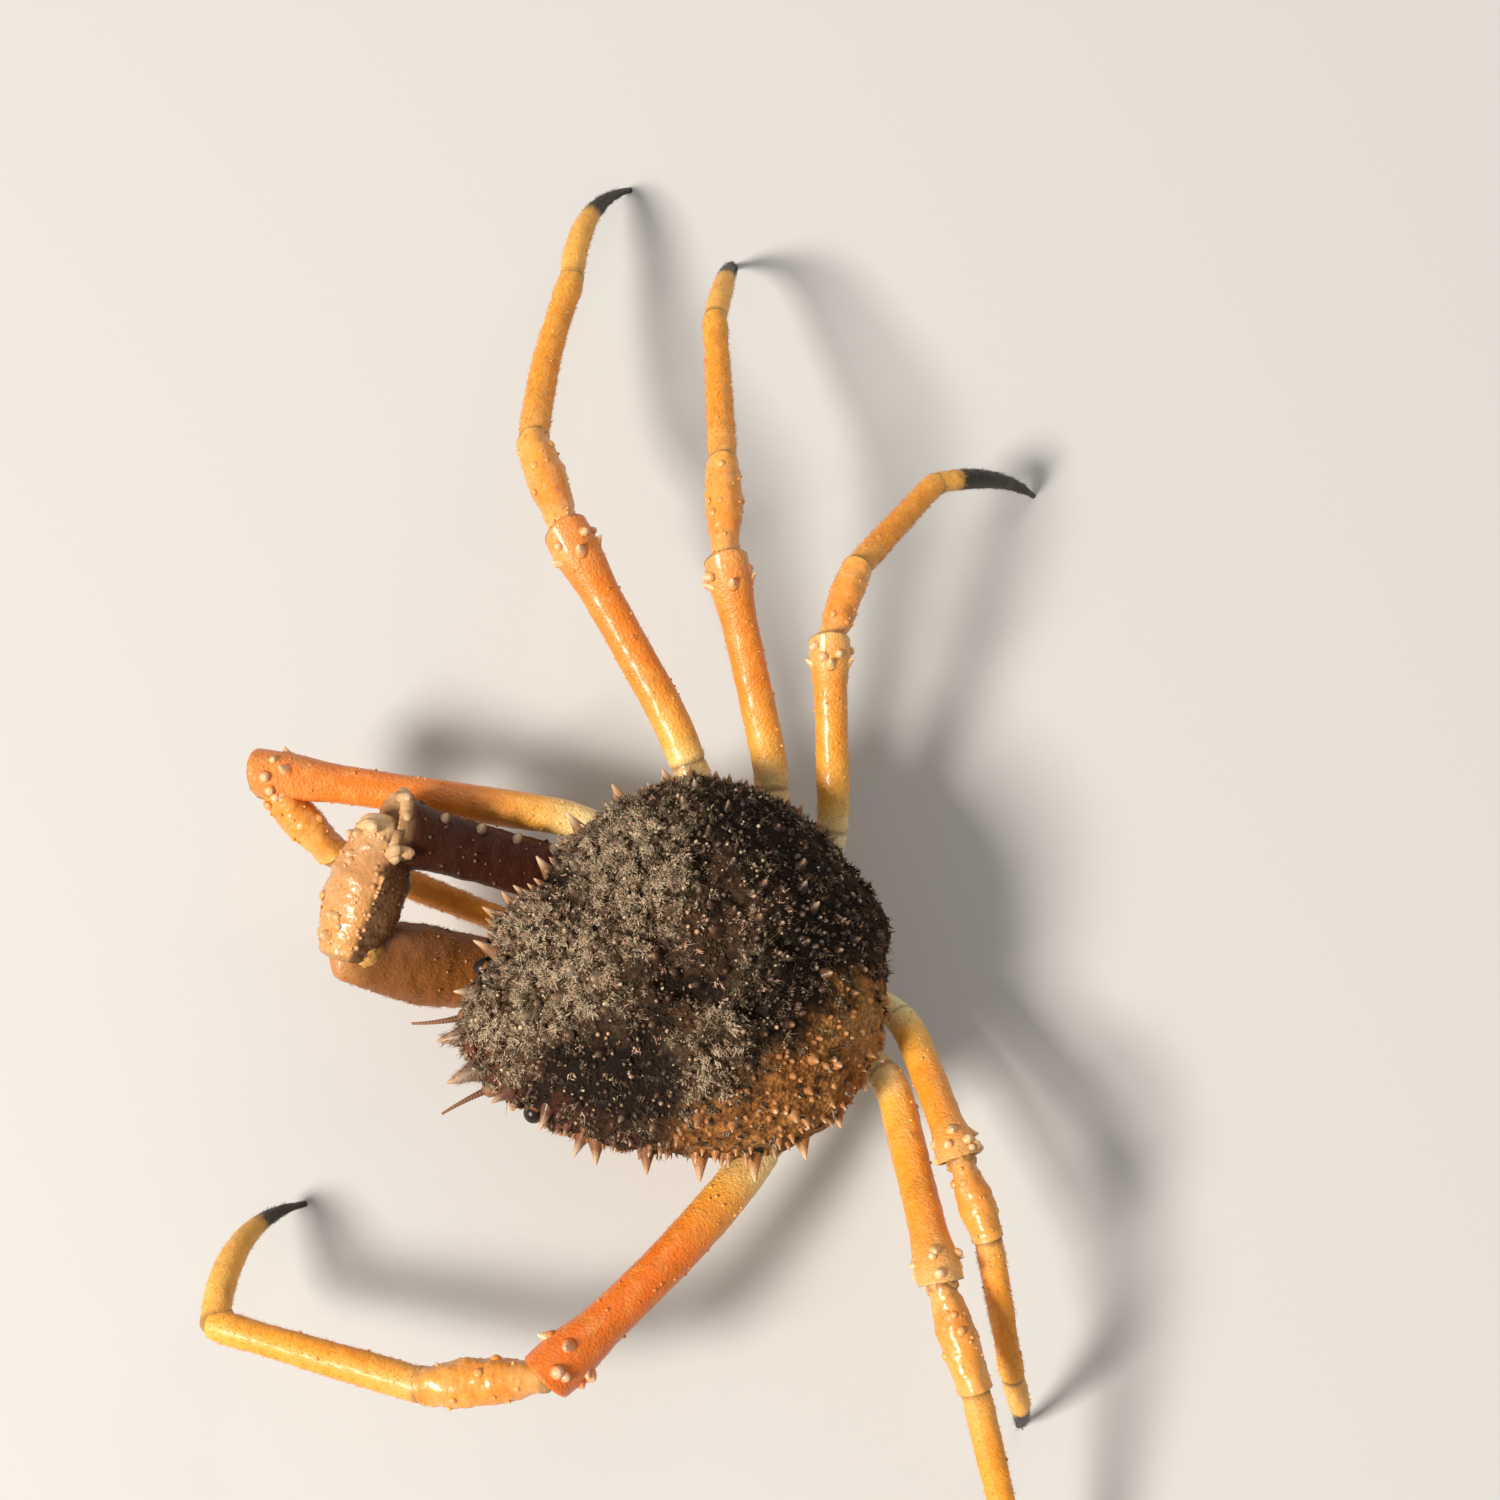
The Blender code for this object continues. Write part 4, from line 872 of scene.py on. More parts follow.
def line(start, end):
    """Straight path."""
    return start + (end - start) * SHARES[:, None]


def outline(rows):
    """Share of the thickness along a piece, with soft corners."""
    sharp = np.interp(SHARES, *zip(*rows))
    kernel = np.hanning(2 * CORNER_RINGS + 3)[1:-1]
    padded = np.pad(sharp, CORNER_RINGS, mode="edge")
    return np.convolve(padded, kernel / kernel.sum(), mode="valid")


def bent_path(start, corner, end):
    """Path along a line with one rounded corner."""
    first = np.linalg.norm(corner - start)
    whole = first + np.linalg.norm(end - corner)
    reach = min(first, BEND_SHARE * (whole - first))
    near = start + (corner - start) * (1 - reach / first)
    far = corner + (end - corner) * reach / (whole - first)
    points = []
    for run in SHARES * whole:
        if run < first - reach:
            points.append(start + (corner - start) * run / first)
        elif run > first + reach:
            points.append(corner + (end - corner) * (run - first) / (whole - first))
        else:
            t = (run - first + reach) / (2 * reach)
            points.append((1 - t)**2 * near + 2 * t * (1 - t) * corner + t**2 * far)
    return np.array(points)


def bowed(path, bow):
    """The same path, pushed sideways most in its middle."""
    side = unit(np.cross(path[-1] - path[0], UP))
    return path + side * bow * np.sin(math.pi * SHARES)[:, None]


def skin(path, widths, depths, ends, ripple, seed, overhang=0.0):
    """Closed tube round a path. A positive end is a dome, a negative one a hollow cup, and the
    overhang draws the upper side of the far end out over the next piece."""
    caps = np.radians(CAP_ANGLES)
    ahead = unit(np.gradient(path, axis=0))
    first = path[0] - ahead[0] * (np.sin(caps) * ends[0] * widths[0])[:, None]
    last = path[-1] + ahead[-1] * (np.sin(caps[::-1]) * ends[1] * widths[-1])[:, None]
    centres = np.concatenate([first, path, last])
    ahead = np.concatenate([ahead[:1]] * len(caps) + [ahead] + [ahead[-1:]] * len(caps))
    wide = np.concatenate([np.cos(caps) * widths[0], widths, np.cos(caps[::-1]) * widths[-1]])
    deep = np.concatenate([np.cos(caps) * depths[0], depths, np.cos(caps[::-1]) * depths[-1]])
    side = unit(np.cross(ahead, UP))
    top = np.cross(side, ahead)
    turn = -2 * math.pi * np.arange(LIMB_SIDES) / LIMB_SIDES
    out = (side[:, None] * (np.cos(turn) * wide[:, None])[:, :, None]
           + top[:, None] * (np.sin(turn) * deep[:, None])[:, :, None])
    order = np.arange(len(centres)) - len(caps)
    run = np.clip(order / (len(path) - 1), 0, 1)
    drawn = smoothstep(0.86, 1.0, run) * overhang * widths[-1]
    normals = unit(out).reshape(-1, 3)
    out = out + ahead[:, None] * (drawn[:, None] * np.sin(turn))[:, :, None]
    points = (centres[:, None] + out).reshape(-1, 3)
    uneven = ripple * (rough(points + seed, 240) + 0.6 * rough(points + seed, 70))
    points = points + normals * uneven[:, None]
    cup = np.clip((order - len(path) + 1) / 2, 0, 1)
    return {"points": points, "faces": grid_faces(1, len(centres), LIMB_SIDES),
            "along": np.repeat(run, LIMB_SIDES), "cup": np.repeat(cup, LIMB_SIDES),
            "over": np.tile(np.sin(turn), len(centres))}, normals


def on_skin(part, normals, count, span, rng, over=-2.0):
    """Random places on a stretch of a limb piece: its points' numbers and the places between."""
    fits = np.flatnonzero((part["along"] >= span[0]) & (part["along"] <= span[1])
                          & (part["over"] >= over) & (part["cup"] == 0))
    chosen = rng.choice(fits, count)
    slide = np.cross(normals[chosen], rng.normal(0, KNOB_SLIDE, (count, 3)))
    return chosen, part["points"][chosen] + slide


def knobs_on(part, normals, scale, rng, count, sizes, span, pale, over=-2.0, slim=0.62):
    """Blunt knobs spread over a stretch of a limb piece."""
    chosen, roots = on_skin(part, normals, count, span, rng, over)
    size = rng.uniform(*sizes, count) * scale
    made = spikes(roots, normals[chosen] + rng.normal(0, 0.12, (count, 3)), size,
                  size * slim + 0.0002, KNOB_OUTLINE, 8)
    for name in ("along", "over", "shaded"):
        if name in part:
            made[name] = part[name][chosen][made["each"]]
    made["pale"] = pale
    return made


def hairs_on(part, normals, path, count, lengths, span, rng, radius=HAIR_RADIUS):
    """Short hairs that lie back along a limb piece, with the place of each root."""
    ahead = unit(path[-1] - path[0])
    chosen, roots = on_skin(part, normals, count, span, rng)
    length = rng.uniform(*lengths, count)
    way = normals[chosen] * 0.9 + ahead * 0.7 + rng.normal(0, 0.30, (count, 3))
    made = spikes(roots, way, length, radius, HAIR_OUTLINE, 3, ahead * length[:, None] * 0.35)
    made["along"] = part["along"][chosen][made["each"]]
    made["dark"] = np.broadcast_to(part.get("dark", 0.0), len(normals))[chosen][made["each"]]
    angle = (chosen % LIMB_SIDES) / LIMB_SIDES
    return made, np.stack([angle, part["along"][chosen]], -1)


# Spots: small round freckles of the limbs and the underside, a share of all the cells.
spots, ends_in, ends_out = new_group(
    "spots", [("Scale", "Float"), ("Share", "Float")], [("Mask", "Float")])
place = add(spots, "ShaderNodeTexCoord")
cells = add(spots, "ShaderNodeTexVoronoi", {"Vector": place.outputs["Object"],
                                            "Scale": ends_in.outputs["Scale"]})
disc = add(spots, "ShaderNodeMapRange", {"Value": cells.outputs["Distance"],
                                         "From Min": 0.42, "From Max": 0.12})
tint = add(spots, "ShaderNodeSeparateColor", {"Color": cells.outputs["Color"]})
chosen = add(spots, "ShaderNodeMath", {0: tint.outputs["Red"], 1: ends_in.outputs["Share"]},
             operation="LESS_THAN")
shown = add(spots, "ShaderNodeMath", {0: disc.outputs["Result"], 1: chosen.outputs[0]},
            operation="MULTIPLY")
spots.links.new(shown.outputs[0], ends_out.inputs["Mask"])


def limb_material(name, stops, light, under_tone, constants, grain_scale, grain_height, red=None):
    """Wet shell of a limb: its colour runs along the piece, with blotches, freckles and knobs."""
    made, tree, shader = new_material(name, **constants)
    tone = ramp(tree, mask(tree, "along"), stops)
    if red is not None:
        red_part = add(tree, "ShaderNodeMapRange", {"Value": mask(tree, "along"), "From Min": 0.30,
                                                    "From Max": 0.58})
        tone = mixed(tree, tone, red, scaled(tree, red_part.outputs["Result"], mask(tree, "red")))
    below = add(tree, "ShaderNodeMapRange", {"Value": mask(tree, "over"), "From Min": -0.1,
                                             "From Max": -0.9, "To Max": 0.75})
    tone = mixed(tree, tone, under_tone, below.outputs["Result"])
    dark = [channel * 0.5 for channel in stops[len(stops) // 2][1]]
    freckles = group(tree, spots, Scale=560.0, Share=0.30).outputs["Mask"]
    tone = mixed(tree, tone, light, scaled(tree, blotches(tree, 170.0, 0.50, 0.74), 0.40))
    tone = mixed(tree, tone, dark, scaled(tree, blotches(tree, 110.0, 0.52, 0.76), 0.50))
    tone = mixed(tree, tone, dark, scaled(tree, freckles, 0.30))
    tone = tinted(tree, tone, (0.12, 0.050, 0.015), "crease", 0.65)
    tone = tinted(tree, tone, (0.34, 0.180, 0.070), "cup", 0.80)
    tone = mixed(tree, tone, PALE_KNOB, scaled(tree, mask(tree, "tip"), mask(tree, "pale")))
    # Painted shade, over dark red-brown shell, where a piece is marked for it
    tone = tinted(tree, tone, (0.060, 0.020, 0.008), "shaded")
    tone = tinted(tree, tone, (0.018, 0.011, 0.007), "dark")
    dress(tree, shader, tone, Scale=grain_scale, Height=grain_height)
    return made


WET = {"Roughness": 0.42, "Specular_IOR_Level": 0.45, "Coat_Weight": 0.30, "Coat_Roughness": 0.16,
       "Subsurface_Weight": 0.10, "Subsurface_Scale": 0.002}
DOWNY = {**WET, "Roughness": 0.50, "Coat_Weight": 0.12}
leg_materials = {
    "merus": limb_material(
        "leg_upper",
        ((0.0, (0.84, 0.74, 0.46)), (0.22, (0.84, 0.69, 0.34)), (0.36, (0.84, 0.44, 0.070)),
         (0.58, (0.84, 0.33, 0.026)), (0.84, (0.82, 0.30, 0.032)),
         (0.94, (0.80, 0.40, 0.105)), (1.0, (0.80, 0.47, 0.160))),
        (0.86, 0.50, 0.130), (0.78, 0.46, 0.120), WET, 900.0, 0.0003, (0.80, 0.160, 0.007)),
    "carpus": limb_material(
        "leg_knee",
        ((0.0, (0.76, 0.40, 0.120)), (0.3, (0.76, 0.26, 0.034)), (0.7, (0.80, 0.31, 0.045)),
         (1.0, (0.78, 0.34, 0.065))),
        (0.84, 0.50, 0.190), (0.78, 0.38, 0.090), {**WET, "Roughness": 0.34}, 800.0, 0.0001),
    "propodus": limb_material(
        "leg_shank",
        ((0.0, (0.80, 0.38, 0.080)), (0.3, (0.84, 0.31, 0.022)), (0.8, (0.86, 0.34, 0.026)),
         (1.0, (0.86, 0.40, 0.055))),
        (0.88, 0.48, 0.120), (0.78, 0.38, 0.060), DOWNY, 1000.0, 0.00016),
    "dactyl": limb_material(
        "leg_toe",
        ((0.0, (0.88, 0.43, 0.080)), (0.35, (0.86, 0.42, 0.070)), (0.7, (0.68, 0.36, 0.060)),
         (1.0, (0.42, 0.22, 0.045))),
        (0.88, 0.58, 0.180), (0.76, 0.42, 0.080), DOWNY, 1000.0, 0.00016),
}

hair_material, tree, shader = new_material("down", Roughness=0.6, Specular_IOR_Level=0.4)
tone = tinted(tree, (0.86, 0.35, 0.040), (0.88, 0.44, 0.080), "yellow")
tone = tinted(tree, tone, (0.050, 0.032, 0.016), "dark")
dress(tree, shader, tone)

joint_material, tree, shader = new_material("joint_skin", Roughness=0.45, Specular_IOR_Level=0.4,
                                            Subsurface_Weight=0.15, Subsurface_Scale=0.002)
tone = mixed(tree, (0.66, 0.36, 0.095), (0.36, 0.15, 0.040), blotches(tree, 420.0, 0.4, 0.6))
dress(tree, shader, tone)
BALL_OUTLINE = tuple((0.5 - 0.5 * math.cos(a), math.sin(a)) for a in np.linspace(0.06, 3.08, 18))


def uneven_balls(centres, ways, lengths, radii):
    """Lumpy balls of soft skin that fill the joints of a limb."""
    balls = spikes(centres, ways, lengths, radii, BALL_OUTLINE, 28)
    lumps = np.stack([rough(balls["points"] + shift, 420) for shift in (0.0, 0.5, 0.9)], -1)
    own_radii = np.broadcast_to(radii, len(centres))[balls["each"]]
    balls["points"] = balls["points"] + lumps * own_radii[:, None] * 0.10
    return balls


hair_parts = {"right": [], "left": []}
hair_places = {"right": [], "left": []}
for number, (name, (corner, *rows, toe)) in enumerate(LEGS.items()):
    thick, redness, down, horn_from, bows = LEG_LOOKS[name]
    scale = thick / FULL_THICKNESS
    rng = np.random.default_rng(100 + number)
    ways, joints = limb_joints(corner, rows)
    toe_length, toe_heading = toe
    ways.append(heading(toe_heading, -math.degrees(math.asin(joints[4][2] / toe_length))))
    toe_side = unit(np.cross(ways[4], UP))
    toe_arch = np.cross(toe_side, ways[4]) * TOE_ARCH * toe_length + toe_side * bows[2]
    toe_path = joints[4] + ways[4] * toe_length * SHARES[:, None] + toe_arch * ARCH
    toe_widths = thick * outline(TOE_SHAPE + ((1.0, TOE_RADIUS / thick),))
    thin = thick * THINNER
    shapes = {
        "merus": (bowed(bent_path(*joints[:3]), bows[0]), thick * outline(MERUS_SHAPE), FLATNESS),
        "carpus": (line(joints[2], joints[3]), thin * outline(CARPUS_SHAPE), FLATNESS),
        "propodus": (bowed(line(joints[3], joints[4]), bows[1]), thin * outline(SHANK_SHAPE),
                     FLATNESS),
        "dactyl": (toe_path, toe_widths, 1.0),
    }
    for order, (piece, (slot, far_end, overhang, hairs, knobs)) in enumerate(LEG_PIECES.items()):
        path, widths, flatness = shapes[piece]
        body, normals = skin(path, widths, widths * flatness, (0.6, far_end), LEG_RIPPLE, number,
                             overhang)
        along = body["along"]
        if piece == "merus":
            seam_at = rows[0][0] / (rows[0][0] + rows[1][0]) + 0.03
            body["crease"] = np.exp(-((along - seam_at) / 0.008)**2)
            body["points"] = body["points"] - normals * (CREASE_DEPTH * scale * body["crease"])[:, None]
        elif piece == "carpus":
            lump = (rough(body["points"] + number, 130) * KNEE_LUMP
                    + KNEE_RIDGE * np.clip(body["over"], 0, 1)**6) * scale
            body["points"] = body["points"] + normals * lump[:, None]
            body["crease"] = smoothstep(0.09, 0.0, along)
        elif piece == "propodus":
            body["crease"] = smoothstep(0.05, 0.0, along)
        else:
            ragged = along + 0.03 * rough(body["points"], 500)
            body["dark"] = smoothstep(horn_from, horn_from + 0.10, ragged)
            body["crease"] = smoothstep(0.05, 0.0, along)
            body["points"][:, 2] = np.maximum(body["points"][:, 2], 0.0)
        parts = [body] + [knobs_on(body, normals, scale, rng, *row) for row in knobs]
        if piece == "merus":
            side = unit(np.cross(ways[1], UP))
            top = np.cross(side, ways[1])
            outs = np.array([top, unit(side + top * 0.25), unit(top * 0.25 - side)])
            cup_spines = spikes(joints[2] - ways[1] * thick * 1.25 + outs * thick * 1.02,
                                outs + ways[1] * 0.55,
                                np.array([1.0, 0.8, 0.8]) * CUP_SPINE[0] * scale,
                                CUP_SPINE[1] * scale, SPINE_OUTLINE, 12)
            cup_spines["along"] = 0.96
            cup_spines["pale"] = 0.85
            parts.append(cup_spines)
        for part in parts:
            part["red"] = redness
        made = new_object(f"{name}_{piece}_skin", parts, leg_materials[piece])
        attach(made, "root")
        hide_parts(f"{name}_{piece}")
        amount, lengths, span = hairs
        coat, places = hairs_on(body, normals, path, int(amount * down), lengths, span, rng)
        coat["yellow"] = 0.1
        if piece == "dactyl":
            coat["yellow"] = 1.0
            coat["points"][:, 2] = np.maximum(coat["points"][:, 2], 0.0)
        word = name.split("_")[0]
        hair_parts[word].append(coat)
        hair_places[word].append(np.array([order, number % 4]) / 4 + places * MAP_CELL)
    balls = uneven_balls(np.array([joints[k] - ways[k - 1] * thick * 0.6 for k in (2, 3, 4)]),
                         np.array([ways[k - 1] + ways[k] for k in (2, 3, 4)]),
                         thick * JOINT_BALL_LENGTH, np.array(JOINT_BALL_RADII) * thick)
    joint_skins = new_object(name + "_joint_skins", [balls], joint_material)
    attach(joint_skins, "root")
for word in ("right", "left"):
    leg_down = new_coat(word + "_leg_down", hair_parts[word], hair_places[word], hair_material)
    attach(leg_down, "root")


# Claws: arm, wrist and palm with two fingers, hard wet shell with soft pale lobes at the wrist.
# The right one is full grown and folded in front of the head, with its fingers below it. The
# left one is smaller, regrown, and tucked under the body.
ARM_HALF = (0.0120, 0.0105)
WRIST_HALF = (0.0120, 0.0110)
PALM_HALF = (0.0142, 0.0092)
WRIST_SHAPE = ((0.0, 0.78), (0.14, 0.92), (0.38, 1.14), (0.62, 1.14), (0.84, 0.92), (1.0, 0.76))
PALM_SHAPE = ((0.0, 0.66), (0.12, 0.78), (0.34, 0.98), (0.60, 1.0), (0.84, 0.92), (1.0, 0.84))
FINGER_SHAPE = ((0.0, 1.0), (0.25, 0.92), (0.55, 0.70), (0.80, 0.46), (1.0, 0.22))
FINGER_RADIUS = 0.0056
FINGER_BOW = 0.0035
FINGER_TIP_SHIFT = 0.0016
FINGER_ROOTS = ((-1, -0.006), (1, 0.0003))
ROW_KNOB = (0.0034, 0.0022)
ARM_LOBES = 11
WRIST_LOBES = 6
LOBE_LENGTH = 0.0068
WRIST_EDGE_THORNS = 26
WRIST_THORN_LENGTHS = (0.0009, 0.0018)
CLAW_RIPPLE = 0.0004
CLAW_HAIR_LENGTHS = (0.0005, 0.0011)
CLAW_HAIR_RADIUS = 0.00006
# Lumps of wrist and palm: height, and number of lumps to the metre
WRIST_LUMPS = (0.0015, 80)
PALM_LUMPS = (0.0006, 60)
CLAW_BALL_LENGTH = 0.015
CLAW_BALL_RADIUS = 0.0085
CLAW_BALL_BACK = 0.007
BLUNT_OUTLINE = ((-0.3, 1.0), (0.0, 1.0), (0.45, 1.05), (0.75, 0.92), (0.92, 0.60), (1.0, 0.10))
# Rows: corner of the breastplate, then length, heading and climb of stub, arm, wrist and palm,
# then finger length and scale
CLAWS = {
    "right_claw": ((-0.035, -0.008), (0.015, 180, -7), (0.080, -117, 29), (0.045, -38, -15),
                   (0.059, 71, -32), 0.038, 1.0),
    "left_claw": ((0.030, -0.012), (0.011, -62, -18), (0.044, -128, -5), (0.019, 110, -32),
                  (0.040, 97, -8), 0.024, 0.60),
}
# Pieces: slot, half sizes, forms of the two ends, hairs, and rows of knobs as for the legs
CLAW_PIECES = {
    "arm": ("claw_arm", ARM_HALF, (0.5, -0.4), 500, ((36, (0.0004, 0.0009), (0.3, 0.95), 0.12, 0.3),)),
    "wrist": ("claw_wrist", WRIST_HALF, (0.5, 0.35), 200,
              ((70, (0.0003, 0.0006), (0.05, 1.0), 0.2, -0.6, 1.1),
               (6, (0.0008, 0.0014), (0.15, 1.0), 0.2, -0.3, 1.3))),
    "hand": ("claw_palm", PALM_HALF, (0.6, 0.3), 2600, ((40, (0.0004, 0.0008), (0.1, 1.0), 0.2),)),
    "finger": ("claw_finger", (1.0, 1.0), (0.4, 0.6), 200, ()),
}
# Rows of larger knobs: joint that they start from, their number and their stretch
KNOB_ROWS = {"arm": (1, 5, (0.25, 0.95)), "wrist": (2, 6, (0.1, 0.9))}

GLOSSY = {**WET, "Roughness": 0.34, "Coat_Weight": 0.35}
DARK_WET = {**WET, "Roughness": 0.50, "Coat_Weight": 0.08, "Specular_IOR_Level": 0.18}
claw_materials = {
    # The arm's near-black middle is its own dark red-brown deepened with painted shade
    "arm": limb_material(
        "claw_arm",
        ((0.0, (0.30, 0.11, 0.025)), (0.25, (0.056, 0.014, 0.005)), (0.75, (0.038, 0.009, 0.004)),
         (0.93, (0.07, 0.020, 0.008)), (0.99, (0.52, 0.30, 0.14))),
        (0.07, 0.020, 0.008), (0.16, 0.05, 0.014), DARK_WET, 900.0, 0.00018),
    # The wrist's dark under tone is painted shade on its lower side
    "wrist": limb_material(
        "claw_wrist",
        ((0.0, (0.66, 0.42, 0.19)), (0.20, (0.54, 0.25, 0.095)), (0.6, (0.58, 0.27, 0.080)),
         (1.0, (0.62, 0.28, 0.070))),
        (0.66, 0.40, 0.190), (0.16, 0.050, 0.016), GLOSSY, 650.0, 0.0003),
    "hand": limb_material(
        "claw_palm",
        ((0.0, (0.46, 0.19, 0.050)), (0.12, (0.22, 0.072, 0.012)), (0.55, (0.23, 0.074, 0.011)),
         (1.0, (0.44, 0.15, 0.026))),
        (0.42, 0.15, 0.028), (0.60, 0.22, 0.035), DOWNY, 1000.0, 0.00018),
    "finger": limb_material(
        "claw_finger",
        ((0.0, (0.50, 0.18, 0.030)), (0.5, (0.56, 0.26, 0.070)), (1.0, (0.74, 0.64, 0.50))),
        (0.70, 0.44, 0.20), (0.56, 0.30, 0.10), WET, 900.0, 0.00016),
}


def rim_lobes(part, normals, axis, count, scale, span, rng):
    """Long soft lobes that lie round the rim of a limb piece."""
    chosen, roots = on_skin(part, normals, count, span, rng, -0.3)
    lengths = rng.uniform(0.7, 1.15, count) * LOBE_LENGTH * scale
    turned = np.cross(normals[chosen], axis) * rng.choice((-1.0, 1.0), count)[:, None]
    made = spikes(roots - normals[chosen] * 0.0004 * scale, normals[chosen] * 0.5 + turned
                  + rng.normal(0, 0.15, (count, 3)), lengths, lengths * 0.30, BLUNT_OUTLINE, 12)
    made["points"] = made["points"] + 0.0005 * scale * unit(rng.normal(0, 1, 3)) * rough(
        made["points"], 500)[:, None]
    made["along"] = np.repeat(part["along"][chosen], len(made["each"]) // count)
    made["over"] = 1.0
    made["pale"] = 0.25
    return made


claw_hair = []
claw_hair_places = []
for number, (name, (corner, *rows, finger_length, scale)) in enumerate(CLAWS.items()):
    rng = np.random.default_rng(200 + number)
    ways, joints = limb_joints(corner, rows)
    side = unit(np.cross(ways[3], UP))
    inner = side if side[0] * (-1 if corner[0] < 0 else 1) < 0 else -side
    finger_paths = []
    for sign, reach in FINGER_ROOTS:
        root = joints[4] + inner * sign * PALM_HALF[0] * scale * 0.45 + ways[3] * reach
        tip = joints[4] + inner * sign * FINGER_TIP_SHIFT * scale + ways[3] * finger_length
        finger_paths.append(line(root, tip) + inner * sign * FINGER_BOW * scale * ARCH)
    finger_width = FINGER_RADIUS * scale * outline(FINGER_SHAPE)
    shapes = {
        "arm": (bent_path(*joints[:3]), 0.9 * scale * outline(MERUS_SHAPE)),
        "wrist": (line(joints[2], joints[3]), scale * outline(WRIST_SHAPE)),
        "hand": (line(joints[3], joints[4]), scale * outline(PALM_SHAPE)),
        "finger": (finger_paths[1], finger_width),
    }
    for order, (piece, (slot, halves, ends, amount, knobs)) in enumerate(CLAW_PIECES.items()):
        path, widths = shapes[piece]
        body, normals = skin(path, widths * halves[0], widths * halves[1], ends,
                             CLAW_RIPPLE * scale, 20.0 + number)
        parts = [body]
        if piece in KNOB_ROWS:
            first, count, span = KNOB_ROWS[piece]
            across = unit(np.cross(ways[first], UP))
            outward = unit(np.cross(across, ways[first]) + across * 0.9)
            roots = (joints[first] + (joints[first + 1] - joints[first])
                     * np.linspace(*span, count)[:, None] + outward * halves[1] * scale * 0.86)
            row_knobs = spikes(roots, np.tile(outward, (count, 1)), ROW_KNOB[0] * scale,
                               ROW_KNOB[1] * scale, KNOB_OUTLINE, 12)
            row_knobs["along"] = np.linspace(0.5, 1.0, count)[row_knobs["each"]]
            row_knobs["pale"] = 0.3
            parts.append(row_knobs)
        if piece == "arm":
            parts.append(rim_lobes(body, normals, ways[1], ARM_LOBES, scale, (0.955, 1.0), rng))
            parts[-1]["along"] = 1.0
        elif piece == "wrist":
            body["points"] = body["points"] + normals * (
                WRIST_LUMPS[0] * scale * rough(body["points"] + 4.0, WRIST_LUMPS[1]))[:, None]
            parts.append(rim_lobes(body, normals, ways[2], WRIST_LOBES, scale, (0.0, 0.14), rng))
            # The inner side is painted dark: partly its own dark red-brown, partly painted shade
            inward = 0.14 * rough(body["points"], 420) - normals @ unit(np.cross(ways[2], UP))
            body["shaded"] = 0.85 * smoothstep(0.34, 0.52, inward)
            edge = np.flatnonzero((np.abs(inward - 0.42) < 0.08) & (normals[:, 2] > 0)
                                  & (body["along"] > 0.1) & (body["along"] < 0.95))
            edge = rng.choice(edge, WRIST_EDGE_THORNS)
            size = rng.uniform(*WRIST_THORN_LENGTHS, WRIST_EDGE_THORNS) * scale
            thorns = spikes(body["points"][edge], normals[edge], size, size * 0.6, SPINE_OUTLINE, 8)
            thorns["along"] = 0.5
            thorns["pale"] = 0.3
            parts.append(thorns)
        elif piece == "hand":
            body["points"] = body["points"] + normals * (
                PALM_LUMPS[0] * scale * rough(body["points"], PALM_LUMPS[1]))[:, None]
            fixed, _ = skin(finger_paths[0], finger_width, finger_width, (0.4, 0.6), 0.0002, 30.0)
            fixed["along"] = np.full(len(fixed["points"]), 1.0)
            parts.append(fixed)
        parts += [knobs_on(body, normals, scale, rng, *row) for row in knobs]
        made = new_object(f"{name}_{piece}_skin", parts, claw_materials[piece])
        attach(made, "root")
        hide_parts(f"{name}_{piece}")
        coat, places = hairs_on(body, normals, path, int(amount * scale), CLAW_HAIR_LENGTHS,
                                (0.05, 0.95), rng, CLAW_HAIR_RADIUS)
        claw_hair.append(coat)
        claw_hair_places.append(np.array([order / 4, number / 4]) + places * MAP_CELL)
    balls = uneven_balls(
        np.array([joints[k] - ways[k - 1] * CLAW_BALL_BACK * scale for k in (2, 3)]),
        np.array([ways[k - 1] + ways[k] for k in (2, 3)]),
        CLAW_BALL_LENGTH * scale, CLAW_BALL_RADIUS * scale)
    joint_skins = new_object(name + "_joint_skins", [balls], joint_material)
    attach(joint_skins, "root")
claw_down_material = new_material("claw_down", Roughness=0.6, Specular_IOR_Level=0.4,
                                  Base_Color=(0.34, 0.13, 0.022, 1.0))[0]
claw_down = new_coat("claw_down", claw_hair, claw_hair_places, claw_down_material)
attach(claw_down, "root")


# Eyes: a short stalk of shell on the floor of each socket, with a dark glossy eye at its end
# and a brown lid of shell that reaches over it from above.
EYE_LENGTH = 0.0120
EYE_RADIUS = 0.0034
EYE_START = 0.0003
EYE_SHAPE = ((0.0, 0.78), (0.25, 0.76), (0.40, 0.72), (0.46, 0.78), (0.50, 0.84), (0.55, 0.94),
             (0.60, 1.02), (0.67, 1.05), (0.74, 1.06), (0.80, 1.0), (0.86, 0.90), (0.91, 0.75),
             (0.95, 0.58), (0.98, 0.38), (1.0, 0.16))
eye_material, tree, shader = new_material("eye", Roughness=0.28, Specular_IOR_Level=0.35)
tone = tinted(tree, (0.330, 0.150, 0.060), (0.016, 0.009, 0.005), "glass")
tone = mixed(tree, tone, (0.060, 0.030, 0.018), scaled(tree, blotches(tree, 900.0, 0.5, 0.7), 0.4))
dress(tree, shader, tone, Scale=2600.0, Height=0.00004)
